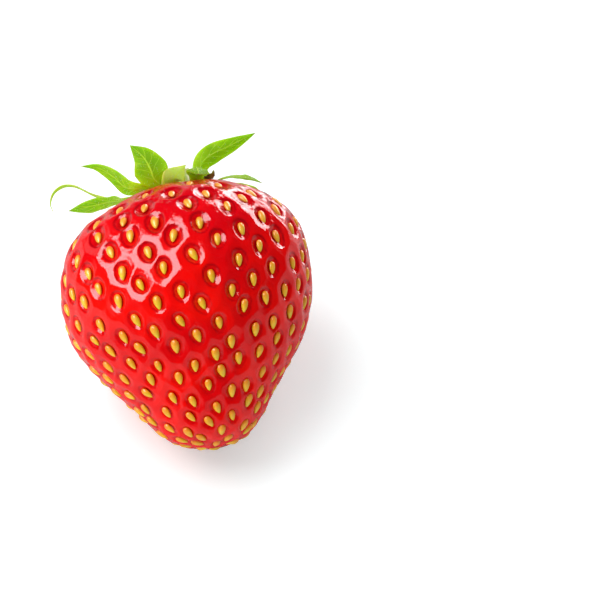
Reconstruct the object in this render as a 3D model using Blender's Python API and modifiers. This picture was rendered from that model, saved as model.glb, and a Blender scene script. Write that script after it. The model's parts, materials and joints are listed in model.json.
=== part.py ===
"""A whole strawberry, as picked, lying on its side on a small flat spot.

World frame: metres, +Z up, origin at the middle of the flat spot that the fruit rests on.
The fruit's axis lies in the YZ plane: the tip points to -Y and the calyx to +Y, raised by REST_TILT.

The pieces are modelled in the fruit's own frame, which the empty fruit_axis carries: its origin is the
tip, its +Z runs up the axis to the calyx, and its +Y side is the underside, so -Y is the upper side.
"""

import math
from dataclasses import dataclass

import bmesh
import bpy
import numpy as np
from mathutils import Matrix, Vector

MM = 0.001

# The fruit. Each profile point is (height above the tip, radius), from the tip round to the calyx hollow.
FRUIT_LENGTH = 37.6 * MM
PROFILE_MM = (
    (0.0, 0.0),
    (1.5, 5.0),
    (4.0, 7.7),
    (7.6, 10.4),
    (11.4, 13.3),
    (16.1, 16.2),
    (20.9, 17.4),
    (25.5, 17.4),
    (30.2, 16.1),
    (33.7, 12.9),
    (35.6, 9.8),
    (36.6, 7.2),
    (36.8, 5.6),
    (36.2, 4.2),
    (35.9, 2.2),
    (35.8, 0.0),
)
PROFILE_STEPS = 26
PROFILE_SAMPLES = 600  # along the profile, where places on the skin are looked up
TURN_STEPS = 32
BOW = 1.3 * MM  # how far the middle of the fruit leans to -X of the straight axis
SHOULDER_SLANT = 0.05  # how much the shoulder rises towards +X
SLANT_START = 0.6  # share of the fruit's length where that rise starts
RIDGE_SHARE = 0.012  # height of the soft ribs round the shoulder, as a share of the radius
RIDGE_START = 0.35  # shares of the length where the ribs start, and over which they grow to full height
RIDGE_SPAN = 0.4
RIDGE_WAVES = ((3, 1.8, 1.0), (5, 0.5, 0.8))  # ribs round the fruit, phase and share of the full height

# How the fruit lies.
REST_TILT = math.radians(26.0)  # the axis above the horizontal, where the fruit balances
FLAT_DEPTH = 0.45 * MM  # how far the soft skin is pressed flat where it rests

# The achenes, the small dry seeds. Spacing is by height above the tip, as a share of the fruit's length.
GOLDEN_ANGLE = math.pi * (3.0 - math.sqrt(5.0))
SPACING_HEIGHTS = (0.0, 0.2, 0.35, 0.6, 0.85, 1.0)
SPACING_MM = (2.5, 3.1, 3.4, 3.8, 4.0, 5.2)
ACHENE_TOP_RADIUS = 8.0 * MM  # no achenes closer to the axis than this on the shoulder
ACHENE_PHASE = 0.94  # where the spiral starts, in radians round +Z
ACHENE_LENGTH = 2.0 * MM  # at its foot, under the skin
ACHENE_WIDTH = 1.3 * MM
ACHENE_HEIGHT = 0.6 * MM  # half of it above the skin
ACHENE_SIDES = 5
ACHENE_CROWN = 0.5  # the crown's width as a share of the foot's
ACHENE_LEAN = math.radians(9.0)  # each lies a little off the meridian

# The calyx. The hub's outline is (height above the tip, radius), from below the axis round to above it.
HUB_OUTLINE_MM = ((36.6, 0.0), (36.6, 1.95), (36.9, 3.6), (37.3, 3.9), (37.6, 3.1), (37.5, 1.35), (37.5, 0.0))
HUB_OUTLINE_STEPS = 12
HUB_STEPS = 20
STEM_RADIUS = 1.05 * MM
STEM_POINTS_MM = ((0.0, 0.0, 37.9), (0.1, 0.3, 38.8), (0.3, 0.9, 39.7), (0.5, 1.6, 40.4))
STEM_STEPS = 7
STEM_CUT_GIRTH = 0.86  # the stub narrows a little at its cut end
BLADE_THICKNESS = 0.34 * MM
BLADE_SAMPLES = 60  # along a midrib, where places on a sepal are looked up
BLADE_LENGTH_CELLS = 12
BLADE_WIDTH_CELLS = 4
BLADE_FOOT_END = 0.42  # share of a sepal's length where its foot has widened out
BLADE_TIP_WIDTH = 0.05  # the point's width as a share of the full width
BLADE_CUP_POWER = 1.6


@dataclass(frozen=True)
class Sepal:
    """One sepal's sizes: mm in the fruit's frame, and degrees.

    The midrib runs from the foot to the point. foot_share is the width at the foot as a share of the full
    width. The blade turns about its midrib from roll_foot to roll_tip, its margins bend by cup, and it draws
    in from taper_from, a share of its length, along a curve of the power taper_power.
    """

    midrib: tuple
    width: float
    foot_share: float
    roll_foot: float
    roll_tip: float
    cup: float
    taper_from: float = 0.35
    taper_power: float = 1.7


SEPALS = {
    "sepal_left_low": Sepal(
        ((-4.4, 0.5, 37.4), (-7.0, 1.0, 37.0), (-10.0, 0.9, 37.0), (-12.6, 1.4, 36.9), (-16.5, 1.8, 36.6)),
        4.0, 0.4, 20, -100, 0.08),
    "sepal_left_curled": Sepal(
        ((-3.8, 2.6, 37.5), (-6.4, 4.0, 38.2), (-9.5, 4.4, 38.2), (-12.2, 4.6, 39.1), (-15.4, 5.3, 41.2),
         (-17.1, 5.7, 41.5), (-18.5, 6.0, 40.7), (-19.1, 6.2, 39.2), (-18.8, 6.2, 38.0)),
        1.2, 0.9, 10, 20, 0.15),
    "sepal_left_arching": Sepal(
        ((-4.2, -1.7, 37.5), (-6.2, -2.0, 37.8), (-8.1, -0.5, 38.6), (-9.8, 0.4, 40.7), (-11.9, 1.1, 42.4),
         (-14.2, 1.6, 43.0)),
        2.4, 0.6, 15, 50, 0.10),
    "sepal_upright_left": Sepal(
        ((-3.2, -3.3, 37.5), (-4.2, -4.4, 38.3), (-4.5, -5.0, 39.4), (-5.3, -5.4, 41.1), (-7.0, -5.6, 43.0)),
        5.2, 0.36, 35, 42, 0.08, 0.28, 1.5),
    "sepal_front": Sepal(
        ((-1.5, -4.8, 37.3), (-1.4, -5.5, 37.6), (-0.7, -5.9, 38.3), (0.4, -6.2, 39.2)),
        5.2, 0.72, 24, 0, 0.04, 0.0, 0.95),
    "sepal_folded": Sepal(
        ((1.6, -4.6, 37.5), (1.7, -5.7, 38.2), (1.8, -6.9, 38.3), (1.9, -8.0, 37.7), (1.9, -9.0, 36.7)),
        2.9, 0.6, 0, 0, -0.20, 0.6, 3.0),
    "sepal_upright_right": Sepal(
        ((3.1, -3.3, 37.6), (2.4, -4.0, 38.9), (2.9, -4.5, 40.0), (4.5, -4.7, 41.0), (7.0, -4.8, 41.9),
         (10.7, -4.6, 43.4)),
        2.9, 0.64, -45, -60, 0.12),
    "sepal_right_flat": Sepal(
        ((4.2, -1.7, 37.5), (5.6, -3.1, 37.75), (7.7, -4.3, 37.35), (9.2, -4.7, 36.8), (10.7, -4.7, 36.0)),
        2.4, 0.5, 12, 42, 0.0),
    "sepal_right_low": Sepal(
        ((4.4, 1.1, 37.6), (6.8, 2.2, 37.9), (9.6, 3.4, 36.9), (12.4, 4.6, 34.9), (14.4, 5.8, 32.8)),
        4.2, 0.45, 0, 10, 0.20),
    "sepal_under_right": Sepal(
        ((2.2, 3.9, 37.6), (3.2, 6.0, 38.6), (4.4, 9.4, 38.8), (5.4, 12.6, 37.8)),
        4.6, 0.45, 0, -10, 0.20),
    "sepal_under_left": Sepal(
        ((-1.2, 4.4, 37.6), (-2.0, 6.6, 38.6), (-3.6, 9.8, 39.4), (-5.0, 12.6, 40.8)),
        4.0, 0.5, 0, 15, 0.20),
}

# A small withered bract among the sepals, of the same shape as they are.
BRACT = Sepal(
    ((3.2, -4.6, 37.4), (3.6, -5.2, 37.5), (4.0, -5.8, 37.7), (4.2, -6.2, 38.1)),
    1.7, 0.8, 0, 0, 0.0, 0.2, 1.2)

# The withered stamens that lie over the edge of the hollow, between the calyx and the fruit.
STAMEN_TURNS = (3, 32, 46, 78, 92, 120, 134, 159, 189, 205, 217, 350)  # degrees round +Z
STAMEN_RADIUS = 0.13 * MM
STAMEN_REACH = (0.42, 0.24, 0.10, -0.04)  # along the profile from the crest (0) to the axis (1)
STAMEN_GIRTH = (1.0, 0.75, 0.7, 1.35)
STAMEN_CLEARANCE = 0.42 * MM

FLESH_RED = (0.62, 0.012, 0.010, 1.0)
SEPAL_GREEN = (0.20, 0.42, 0.03, 1.0)
HUB_GREEN = (0.30, 0.44, 0.08, 1.0)
STEM_GREEN = (0.36, 0.46, 0.12, 1.0)
WITHERED_BROWN = (0.16, 0.07, 0.02, 1.0)


def smoothstep(x):
    """0 below 0, 1 above 1, and smooth between."""
    x = np.clip(x, 0.0, 1.0)
    return x * x * (3.0 - 2.0 * x)


def curve_through(points, count):
    """`count` points, evenly spaced along a centripetal Catmull-Rom curve through the given points."""
    points = np.asarray(points, float)
    ends = np.vstack([2 * points[0] - points[1], points, 2 * points[-1] - points[-2]])
    knots = np.concatenate([[0.0], np.cumsum(np.sqrt(np.linalg.norm(np.diff(ends, axis=0), axis=1)))])
    dense = []
    for i in range(1, len(points)):
        t0, t1, t2, t3 = knots[i - 1:i + 3]
        p0, p1, p2, p3 = ends[i - 1:i + 3]
        t = np.linspace(t1, t2, 24, endpoint=i == len(points) - 1)[:, None]
        a1 = (t1 - t) / (t1 - t0) * p0 + (t - t0) / (t1 - t0) * p1
        a2 = (t2 - t) / (t2 - t1) * p1 + (t - t1) / (t2 - t1) * p2
        a3 = (t3 - t) / (t3 - t2) * p2 + (t - t2) / (t3 - t2) * p3
        b1 = (t2 - t) / (t2 - t0) * a1 + (t - t0) / (t2 - t0) * a2
        b2 = (t3 - t) / (t3 - t1) * a2 + (t - t1) / (t3 - t1) * a3
        dense.append((t2 - t) / (t2 - t1) * b1 + (t - t1) / (t2 - t1) * b2)
    dense = np.vstack(dense)
    along = np.concatenate([[0.0], np.cumsum(np.linalg.norm(np.diff(dense, axis=0), axis=1))])
    wanted = np.linspace(0.0, along[-1], count)
    return np.column_stack([np.interp(wanted, along, dense[:, k]) for k in range(dense.shape[1])])


def fruit_profile(count):
    """(height, radius) pairs from the tip to the calyx hollow, in metres."""
    profile = curve_through(np.array(PROFILE_MM) * MM, count)
    profile[:, 1] = np.maximum(profile[:, 1], 0.0)
    profile[0, 1] = profile[-1, 1] = 0.0
    return profile


def grown_shape(points):
    """Moves points of the true turned shape to the fruit's own, slightly uneven shape."""
    x, y, z = np.asarray(points, float).T
    around = np.arctan2(y, x)
    height = z / FRUIT_LENGTH
    waves = sum(share * np.cos(ribs * around + phase) for ribs, phase, share in RIDGE_WAVES)
    swell = 1.0 + RIDGE_SHARE * smoothstep((height - RIDGE_START) / RIDGE_SPAN) * waves
    bowed = x * swell - BOW * np.sin(math.pi * np.clip(height, 0.0, 1.0))
    raised = z + SHOULDER_SLANT * x * smoothstep((height - SLANT_START) / (1.0 - SLANT_START))
    return np.column_stack([bowed, y * swell, raised])


def skin_points(profile, turns):
    """A grid of points on the fruit's skin, indexed by profile point and by turn."""
    height, radius = profile[:, 0][:, None], profile[:, 1][:, None]
    angle = np.asarray(turns)[None, :]
    grid = np.stack([radius * np.cos(angle), radius * np.sin(angle), height + 0.0 * angle], axis=-1)
    return grown_shape(grid.reshape(-1, 3)).reshape(grid.shape)


def resting_matrix():
    """The fruit frame's place in the world: tilted, with the middle of the flat at the origin."""
    turn = Matrix.Rotation(REST_TILT - math.pi / 2, 4, "X")
    skin = skin_points(fruit_profile(PROFILE_SAMPLES), np.linspace(0.0, 2 * math.pi, 361)).reshape(-1, 3)
    turned = skin @ np.array(turn.to_3x3()).T
    floor = turned[:, 2].min() + FLAT_DEPTH
    pressed = turned[turned[:, 2] < floor]
    middle = (pressed.min(axis=0) + pressed.max(axis=0)) / 2
    return Matrix.Translation((-middle[0], -middle[1], -floor)) @ turn


def material(name, colour, roughness):
    """A plain Principled material."""
    made = bpy.data.materials.new(name)
    made.use_nodes = True
    shader = made.node_tree.nodes["Principled BSDF"]
    shader.inputs["Base Color"].default_value = colour
    shader.inputs["Roughness"].default_value = roughness
    shader.inputs["Metallic"].default_value = 0.0
    return made


def add_object(name, mesh, collection, axis, finish):
    """Puts a mesh into the scene as a piece carried by the fruit's axis."""
    piece = bpy.data.objects.new(name, mesh)
    collection.objects.link(piece)
    piece.parent = axis
    piece.data.materials.append(finish)
    return piece


def evaluated_mesh(piece):
    """The mesh that an object's modifiers make of it, with loose doubles merged."""
    bpy.context.view_layer.update()
    mesh = bpy.data.meshes.new_from_object(piece.evaluated_get(bpy.context.evaluated_depsgraph_get()))
    shape = bmesh.new()
    shape.from_mesh(mesh)
    bmesh.ops.remove_doubles(shape, verts=shape.verts, dist=0.01 * MM)
    bmesh.ops.recalc_face_normals(shape, faces=shape.faces)
    shape.to_mesh(mesh)
    shape.free()
    return mesh


def turned_mesh(name, profile, steps, collection):
    """A closed turned shape: the (height, radius) profile swept round +Z with a Screw modifier."""
    outline = bpy.data.meshes.new(name + "_outline")
    points = [(radius, 0.0, height) for height, radius in profile[::-1]]
    outline.from_pydata(points, [(i, i + 1) for i in range(len(points) - 1)], [])
    turner = bpy.data.objects.new(name + "_outline", outline)
    collection.objects.link(turner)
    screw = turner.modifiers.new("Turn", "SCREW")
    screw.steps = screw.render_steps = steps
    screw.use_merge_vertices = True
    screw.merge_threshold = 0.01 * MM
    mesh = evaluated_mesh(turner)
    bpy.data.objects.remove(turner)
    return mesh


def achene_sites():
    """The spiral of achenes as (profile share, turn) pairs, spaced by SPACING_MM up the fruit."""
    profile = fruit_profile(PROFILE_SAMPLES)
    shoulder = np.flatnonzero(profile[:, 1] > ACHENE_TOP_RADIUS)[-1]
    height, radius = profile[:shoulder, 0], profile[:shoulder, 1]
    step = np.linalg.norm(np.diff(profile[:shoulder + 1], axis=0), axis=1)
    spacing = np.interp(height / FRUIT_LENGTH, SPACING_HEIGHTS, SPACING_MM) * MM
    count = np.cumsum(2 * math.pi * radius * step / spacing ** 2)
    order = np.arange(int(count[-1]))
    share = np.interp(order + 0.5, count, np.arange(shoulder)) / (len(profile) - 1)
    return np.column_stack([share, ACHENE_PHASE - order * GOLDEN_ANGLE])


def skin_frame(share, turn):
    """The point on the skin at a profile share and turn, with its outward normal and the way to the calyx."""
    profile = fruit_profile(PROFILE_SAMPLES)
    at = share * (len(profile) - 1)
    height = np.interp([at - 1, at, at + 1], np.arange(PROFILE_SAMPLES), profile[:, 0])
    radius = np.interp([at - 1, at, at + 1], np.arange(PROFILE_SAMPLES), profile[:, 1])
    near = np.column_stack([height, radius])
    grid = skin_points(near, (turn - 0.01, turn, turn + 0.01))
    up = Vector(grid[2, 1] - grid[0, 1]).normalized()
    around = Vector(grid[1, 2] - grid[1, 0]).normalized()
    return Vector(grid[1, 1]), around.cross(up).normalized(), up


def achenes_mesh():
    """Every achene as a small tapering stud, its foot sunk in the skin."""
    shape = bmesh.new()
    size = Matrix.Diagonal((ACHENE_WIDTH / 2, ACHENE_LENGTH / 2, ACHENE_HEIGHT, 1.0))
    for share, turn in achene_sites():
        place, out, up = skin_frame(share, turn)
        across = up.cross(out).normalized()
        facing = Matrix((across, up, out)).transposed().to_4x4()
        leaning = Matrix.Rotation(ACHENE_LEAN, 4, "Z")
        bmesh.ops.create_cone(
            shape,
            cap_ends=True,
            segments=ACHENE_SIDES,
            radius1=1.0,
            radius2=ACHENE_CROWN,
            depth=1.0,
            matrix=Matrix.Translation(place) @ facing @ leaning @ size,
        )
    mesh = bpy.data.meshes.new("achenes")
    shape.to_mesh(mesh)
    shape.free()
    return mesh


def add_boolean(piece, operation, other):
    """Joins or cuts a piece with another object."""
    cut = piece.modifiers.new(operation.title(), "BOOLEAN")
    cut.operation = operation
    cut.object = other
    cut.solver = "EXACT"


def make_fruit(pieces, helpers, axis):
    """The fleshy receptacle with its achenes, cut flat where it rests."""
    mesh = turned_mesh("fruit", fruit_profile(PROFILE_STEPS), TURN_STEPS, helpers)
    for vertex, moved in zip(mesh.vertices, grown_shape([v.co for v in mesh.vertices])):
        vertex.co = moved
    mesh.shade_smooth()
    fruit = add_object("fruit", mesh, pieces, axis, material("flesh", FLESH_RED, 0.22))

    achenes = bpy.data.objects.new("achene_shapes", achenes_mesh())
    helpers.objects.link(achenes)
    achenes.parent = axis
    add_boolean(fruit, "UNION", achenes)

    below = bmesh.new()
    side = 2 * FRUIT_LENGTH
    bmesh.ops.create_cube(below, size=side, matrix=Matrix.Translation((0.0, 0.0, -side / 2)))
    floor_mesh = bpy.data.meshes.new("floor_cut")
    below.to_mesh(floor_mesh)
    below.free()
    floor = bpy.data.objects.new("floor_cut", floor_mesh)
    helpers.objects.link(floor)
    add_boolean(fruit, "DIFFERENCE", floor)

    for helper in (achenes, floor):
        helper.hide_render = True
        helper.display_type = "WIRE"
    return fruit


def make_hub(pieces, helpers, axis):
    """The green disc in the fruit's hollow that the sepals and the stem grow from."""
    outline = curve_through(np.array(HUB_OUTLINE_MM) * MM, HUB_OUTLINE_STEPS)
    mesh = turned_mesh("calyx_hub", outline, HUB_STEPS, helpers)
    mesh.shade_smooth()
    return add_object("calyx_hub", mesh, pieces, axis, material("hub_green", HUB_GREEN, 0.6))


def make_stem(pieces, axis):
    """The short stub of the fruit's stalk, as picked."""
    curve = bpy.data.curves.new("stem", "CURVE")
    curve.dimensions = "3D"
    curve.bevel_depth = STEM_RADIUS
    curve.bevel_resolution = 2
    curve.use_fill_caps = True
    path = curve_through(np.array(STEM_POINTS_MM) * MM, STEM_STEPS)
    line = curve.splines.new("POLY")
    line.points.add(len(path) - 1)
    for point, place in zip(line.points, path):
        point.co = (*place, 1.0)
    line.points[-1].radius = STEM_CUT_GIRTH
    stem = bpy.data.objects.new("stem", curve)
    pieces.objects.link(stem)
    stem.parent = axis
    curve.materials.append(material("stem_green", STEM_GREEN, 0.6))
    return stem


def blade_width(sepal, along):
    """A sepal's width at shares of its length, as shares of its full width."""
    foot = sepal.foot_share + (1.0 - sepal.foot_share) * smoothstep(along / BLADE_FOOT_END)
    drawn = np.clip((along - sepal.taper_from) / (1.0 - sepal.taper_from), 0.0, 1.0)
    return foot * np.maximum(1.0 - drawn ** sepal.taper_power, BLADE_TIP_WIDTH)


def blade_points(sepal, along, across):
    """Points of a sepal's middle surface at shares along its midrib and from -1 to 1 across it."""
    midrib = curve_through(np.array(sepal.midrib) * MM, BLADE_SAMPLES)
    tangent = np.gradient(midrib, axis=0)
    tangent /= np.linalg.norm(tangent, axis=1)[:, None]
    foot = midrib[0] * (1, 1, 0)
    sideways = np.cross((0.0, 0.0, 1.0), foot / np.linalg.norm(foot))
    side = sideways - (tangent @ sideways)[:, None] * tangent
    side /= np.linalg.norm(side, axis=1)[:, None]
    face = np.cross(tangent, side)
    shares = np.linspace(0.0, 1.0, len(midrib))
    roll = np.radians(sepal.roll_foot + (sepal.roll_tip - sepal.roll_foot) * shares)[:, None]
    side, face = side * np.cos(roll) + face * np.sin(roll), face * np.cos(roll) - side * np.sin(roll)

    def at(values):
        return np.column_stack([np.interp(along, shares, values[:, k]) for k in range(3)])

    half = (0.5 * sepal.width * MM * blade_width(sepal, along))[:, None]
    bend = sepal.cup * half * np.abs(across)[:, None] ** BLADE_CUP_POWER
    return at(midrib) + at(side) * half * across[:, None] + at(face) * bend


def make_sepal(name, sepal, pieces, axis, finish):
    """One sepal: a leaf-shaped open surface, thickened."""
    bpy.ops.mesh.primitive_grid_add(
        x_subdivisions=BLADE_WIDTH_CELLS, y_subdivisions=BLADE_LENGTH_CELLS, size=2.0
    )
    sheet = bpy.context.active_object
    mesh = sheet.data
    flat = np.array([v.co for v in mesh.vertices])
    for vertex, moved in zip(mesh.vertices, blade_points(sepal, (flat[:, 1] + 1) / 2, flat[:, 0])):
        vertex.co = moved
    for collection in sheet.users_collection:
        collection.objects.unlink(sheet)
    sheet.name = mesh.name = name
    pieces.objects.link(sheet)
    sheet.parent = axis
    mesh.shade_smooth()
    mesh.materials.append(finish)
    thicken = sheet.modifiers.new("Thickness", "SOLIDIFY")
    thicken.thickness = BLADE_THICKNESS
    thicken.offset = 0.0
    return sheet


def make_stamens(pieces, axis, finish):
    """A ring of short withered filaments, each a thread bent over the edge of the fruit's hollow."""
    profile = fruit_profile(PROFILE_SAMPLES)
    crest = int(profile[:, 0].argmax())
    stretch = np.interp(STAMEN_REACH, (0.0, 1.0), (crest, len(profile) - 1)) / (len(profile) - 1)
    for number, degrees in enumerate(STAMEN_TURNS, start=1):
        curve = bpy.data.curves.new(f"stamen_{number:02d}", "CURVE")
        curve.dimensions = "3D"
        curve.bevel_depth = STAMEN_RADIUS
        curve.bevel_resolution = 1
        curve.use_fill_caps = True
        line = curve.splines.new("POLY")
        line.points.add(len(stretch) - 1)
        for point, share, girth in zip(line.points, stretch, STAMEN_GIRTH):
            place, out, _ = skin_frame(share, math.radians(degrees))
            point.co = (*(place + out * STAMEN_CLEARANCE), 1.0)
            point.radius = girth
        thread = bpy.data.objects.new(curve.name, curve)
        pieces.objects.link(thread)
        thread.parent = axis
        curve.materials.append(finish)


def main():
    """Clears the scene and builds the strawberry."""
    for leftover in list(bpy.data.objects):
        bpy.data.objects.remove(leftover)
    pieces = bpy.data.collections.new("strawberry")
    helpers = bpy.data.collections.new("cutters")
    bpy.context.scene.collection.children.link(pieces)
    bpy.context.scene.collection.children.link(helpers)

    axis = bpy.data.objects.new("fruit_axis", None)
    pieces.objects.link(axis)
    axis.matrix_world = resting_matrix()
    bpy.context.view_layer.update()

    make_fruit(pieces, helpers, axis)
    make_hub(pieces, helpers, axis)
    make_stem(pieces, axis)
    leaf = material("sepal_green", SEPAL_GREEN, 0.5)
    for name, sepal in SEPALS.items():
        make_sepal(name, sepal, pieces, axis, leaf)
    withered = material("withered_brown", WITHERED_BROWN, 0.8)
    make_sepal("bract_withered", BRACT, pieces, axis, withered)
    make_stamens(pieces, axis, withered)


main()
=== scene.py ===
"""The looks of a ripe strawberry, as picked, lying on its side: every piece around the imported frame.

World frame: metres, +Z up, origin at the middle of the small flat spot that the fruit rests on. The fruit's
own axis lies in the YZ plane, with the tip towards -Y and the calyx towards +Y, raised by FruitShape.tilt.
Shapes are worked out in the fruit's own frame (origin at the tip, +Z up the axis to the calyx, -Y on the
upper side) and then laid down into the world by FruitShape.world.
"""

import json
import logging
import math
from dataclasses import dataclass, field
from enum import Enum
from typing import Any

import bmesh
import bpy
import numpy as np
from mathutils import Matrix, Vector, noise

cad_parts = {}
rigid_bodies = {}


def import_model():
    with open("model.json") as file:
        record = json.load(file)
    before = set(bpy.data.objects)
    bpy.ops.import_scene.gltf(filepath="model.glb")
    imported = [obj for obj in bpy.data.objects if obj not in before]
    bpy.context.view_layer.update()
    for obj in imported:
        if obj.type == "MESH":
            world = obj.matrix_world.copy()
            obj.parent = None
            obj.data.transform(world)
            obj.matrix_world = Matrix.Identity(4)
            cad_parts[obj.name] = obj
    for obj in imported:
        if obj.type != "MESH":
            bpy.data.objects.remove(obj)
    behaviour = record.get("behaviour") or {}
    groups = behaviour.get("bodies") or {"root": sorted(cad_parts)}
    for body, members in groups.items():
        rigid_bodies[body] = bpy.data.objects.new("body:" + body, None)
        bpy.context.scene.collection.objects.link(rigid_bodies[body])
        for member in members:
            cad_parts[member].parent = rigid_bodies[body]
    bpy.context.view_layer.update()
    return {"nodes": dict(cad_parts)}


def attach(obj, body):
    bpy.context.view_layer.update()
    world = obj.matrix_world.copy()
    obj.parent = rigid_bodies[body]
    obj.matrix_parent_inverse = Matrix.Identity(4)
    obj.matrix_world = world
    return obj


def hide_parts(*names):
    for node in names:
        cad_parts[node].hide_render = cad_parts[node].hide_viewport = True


MM = 0.001
GOLDEN_ANGLE = math.pi * (3.0 - math.sqrt(5.0))
SEED = 11

NOISE_RANGE = (0.3, 0.7)  # where most of a cloud's values lie

Socket = bpy.types.NodeSocket
Colour = tuple[float, float, float]
Range = tuple[float, ...]  # where a ramp starts and ends and, if not 0 and 1, its values there

log = logging.getLogger("strawberry")


class Slot(Enum):
    """The record's material slots."""

    FLESH = "flesh"
    ACHENE = "achene"
    SEPAL = "sepal_green"
    HUB = "hub_green"
    STEM = "stem_green"
    STAMEN = "stamen_brown"


class Kind(Enum):
    """What a node group's socket carries."""

    NUMBER = "NodeSocketFloat"
    WHOLE = "NodeSocketInt"
    SHAPE = "NodeSocketGeometry"
    FINISH = "NodeSocketMaterial"


# ---------------------------------------------------------------------------------------------- helpers


def smoothstep(x: np.ndarray) -> np.ndarray:
    """0 below 0, 1 above 1, and smooth between."""
    x = np.clip(x, 0.0, 1.0)
    return x * x * (3.0 - 2.0 * x)


def unit(vectors: np.ndarray) -> np.ndarray:
    """The same vectors, each of length 1."""
    return vectors / np.maximum(np.linalg.norm(vectors, axis=-1, keepdims=True), 1e-12)


def curve_through(points: Any, count: int) -> np.ndarray:
    """Points evenly spaced along a centripetal Catmull-Rom curve.

    Args:
        points: The points that the curve runs through.
        count: How many points to return.

    Returns:
        An array of `count` points.
    """
    points = np.asarray(points, float)
    ends = np.vstack([2 * points[0] - points[1], points, 2 * points[-1] - points[-2]])
    knots = np.concatenate([[0.0], np.cumsum(np.sqrt(np.linalg.norm(np.diff(ends, axis=0), axis=1)))])
    dense = []
    for i in range(1, len(points)):
        t0, t1, t2, t3 = knots[i - 1:i + 3]
        p0, p1, p2, p3 = ends[i - 1:i + 3]
        t = np.linspace(t1, t2, 24, endpoint=i == len(points) - 1)[:, None]
        a1 = (t1 - t) / (t1 - t0) * p0 + (t - t0) / (t1 - t0) * p1
        a2 = (t2 - t) / (t2 - t1) * p1 + (t - t1) / (t2 - t1) * p2
        a3 = (t3 - t) / (t3 - t2) * p2 + (t - t2) / (t3 - t2) * p3
        b1 = (t2 - t) / (t2 - t0) * a1 + (t - t0) / (t2 - t0) * a2
        b2 = (t3 - t) / (t3 - t1) * a2 + (t - t1) / (t3 - t1) * a3
        dense.append((t2 - t) / (t2 - t1) * b1 + (t - t1) / (t2 - t1) * b2)
    dense = np.vstack(dense)
    along = np.concatenate([[0.0], np.cumsum(np.linalg.norm(np.diff(dense, axis=0), axis=1))])
    wanted = np.linspace(0.0, along[-1], count)
    return np.column_stack([np.interp(wanted, along, dense[:, k]) for k in range(dense.shape[1])])


def noise_at(points: np.ndarray, size: float, seed: float) -> np.ndarray:
    """Smooth noise from -1 to 1 at each point, with bumps about `size` metres across."""
    shift = Vector((seed, 3.1 * seed, -1.7 * seed))
    return np.array([noise.noise(Vector(p) / size + shift) for p in points])


def new_piece(name: str, mesh: bpy.types.Mesh, finish: bpy.types.Material | None = None) -> bpy.types.Object:
    """Puts a mesh into the scene as a piece at the origin.

    Args:
        name: The piece's name.
        mesh: Its mesh, already in world coordinates.
        finish: Its material, or None where its mesh already has one.

    Returns:
        The new object.
    """
    piece = bpy.data.objects.new(name, mesh)
    bpy.context.scene.collection.objects.link(piece)
    if finish:
        mesh.materials.append(finish)
    return piece


def write_attribute(mesh: bpy.types.Mesh, name: str, values: np.ndarray) -> None:
    """Stores something for each vertex of a mesh.

    Args:
        mesh: The mesh.
        name: What to store it under.
        values: A number or a vector for each vertex.
    """
    kind, key = ("FLOAT", "value") if values.ndim == 1 else ("FLOAT_VECTOR", "vector")
    layer = mesh.attributes.new(name, kind, "POINT")
    layer.data.foreach_set(key, values.astype(np.float32).ravel())


def closed_skin(name: str, shape: "FruitShape", rings: np.ndarray, ends: Any) -> bpy.types.Mesh:
    """A closed, smooth skin of quads over a row of rings, with a fan of triangles at each end.

    Args:
        name: The mesh's name.
        shape: The fruit whose frame the points are in.
        rings: The rings' points, in an array of rings by places round each.
        ends: The middle of the fan over the first ring, and of the one over the last.

    Returns:
        The mesh, laid down into the world, with its faces pointing outwards.
    """
    count, around = rings.shape[:2]
    at = np.arange(count * around).reshape(count, around)
    after = np.roll(at, -1, 1)
    quads = np.stack([at[:-1], at[1:], after[1:], after[:-1]], axis=-1).reshape(-1, 4).tolist()
    fans = [(at.size, here, beside) for here, beside in zip(at[0].tolist(), after[0].tolist())]
    fans += [(at.size + 1, beside, here) for here, beside in zip(at[-1].tolist(), after[-1].tolist())]
    mesh = bpy.data.meshes.new(name)
    mesh.from_pydata(shape.world(np.vstack([rings.reshape(-1, 3), *ends])).tolist(), [], quads + fans)
    turned = bmesh.new()
    turned.from_mesh(mesh)
    bmesh.ops.recalc_face_normals(turned, faces=turned.faces)
    turned.to_mesh(mesh)
    turned.free()
    mesh.shade_smooth()
    return mesh


def settle(piece: bpy.types.Object, finish: bpy.types.Material) -> bpy.types.Object:
    """Turns what a piece's modifiers make into its plain, smooth-shaded mesh.

    Args:
        piece: The piece, which loses its modifiers.
        finish: The one material that it keeps.

    Returns:
        The piece.
    """
    bpy.context.view_layer.update()
    graph = bpy.context.evaluated_depsgraph_get()
    mesh = bpy.data.meshes.new_from_object(
        piece.evaluated_get(graph), preserve_all_data_layers=True, depsgraph=graph
    )
    piece.modifiers.clear()
    piece.data = mesh
    mesh.materials.clear()
    mesh.materials.append(finish)
    mesh.polygons.foreach_set("material_index", np.zeros(len(mesh.polygons), np.int32))
    mesh.shade_smooth()
    return piece


def register(piece: bpy.types.Object, slot: Slot, *nodes: str) -> None:
    """Attaches a finished piece, which rides on the fruit, and reports it.

    Args:
        piece: The piece.
        slot: Its material slot.
        nodes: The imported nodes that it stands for.
    """
    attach(piece, "root")
    if nodes:
        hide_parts(*nodes)
    log.info("%s: %d faces, slot %s", piece.name, len(piece.data.polygons), slot.value)


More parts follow.
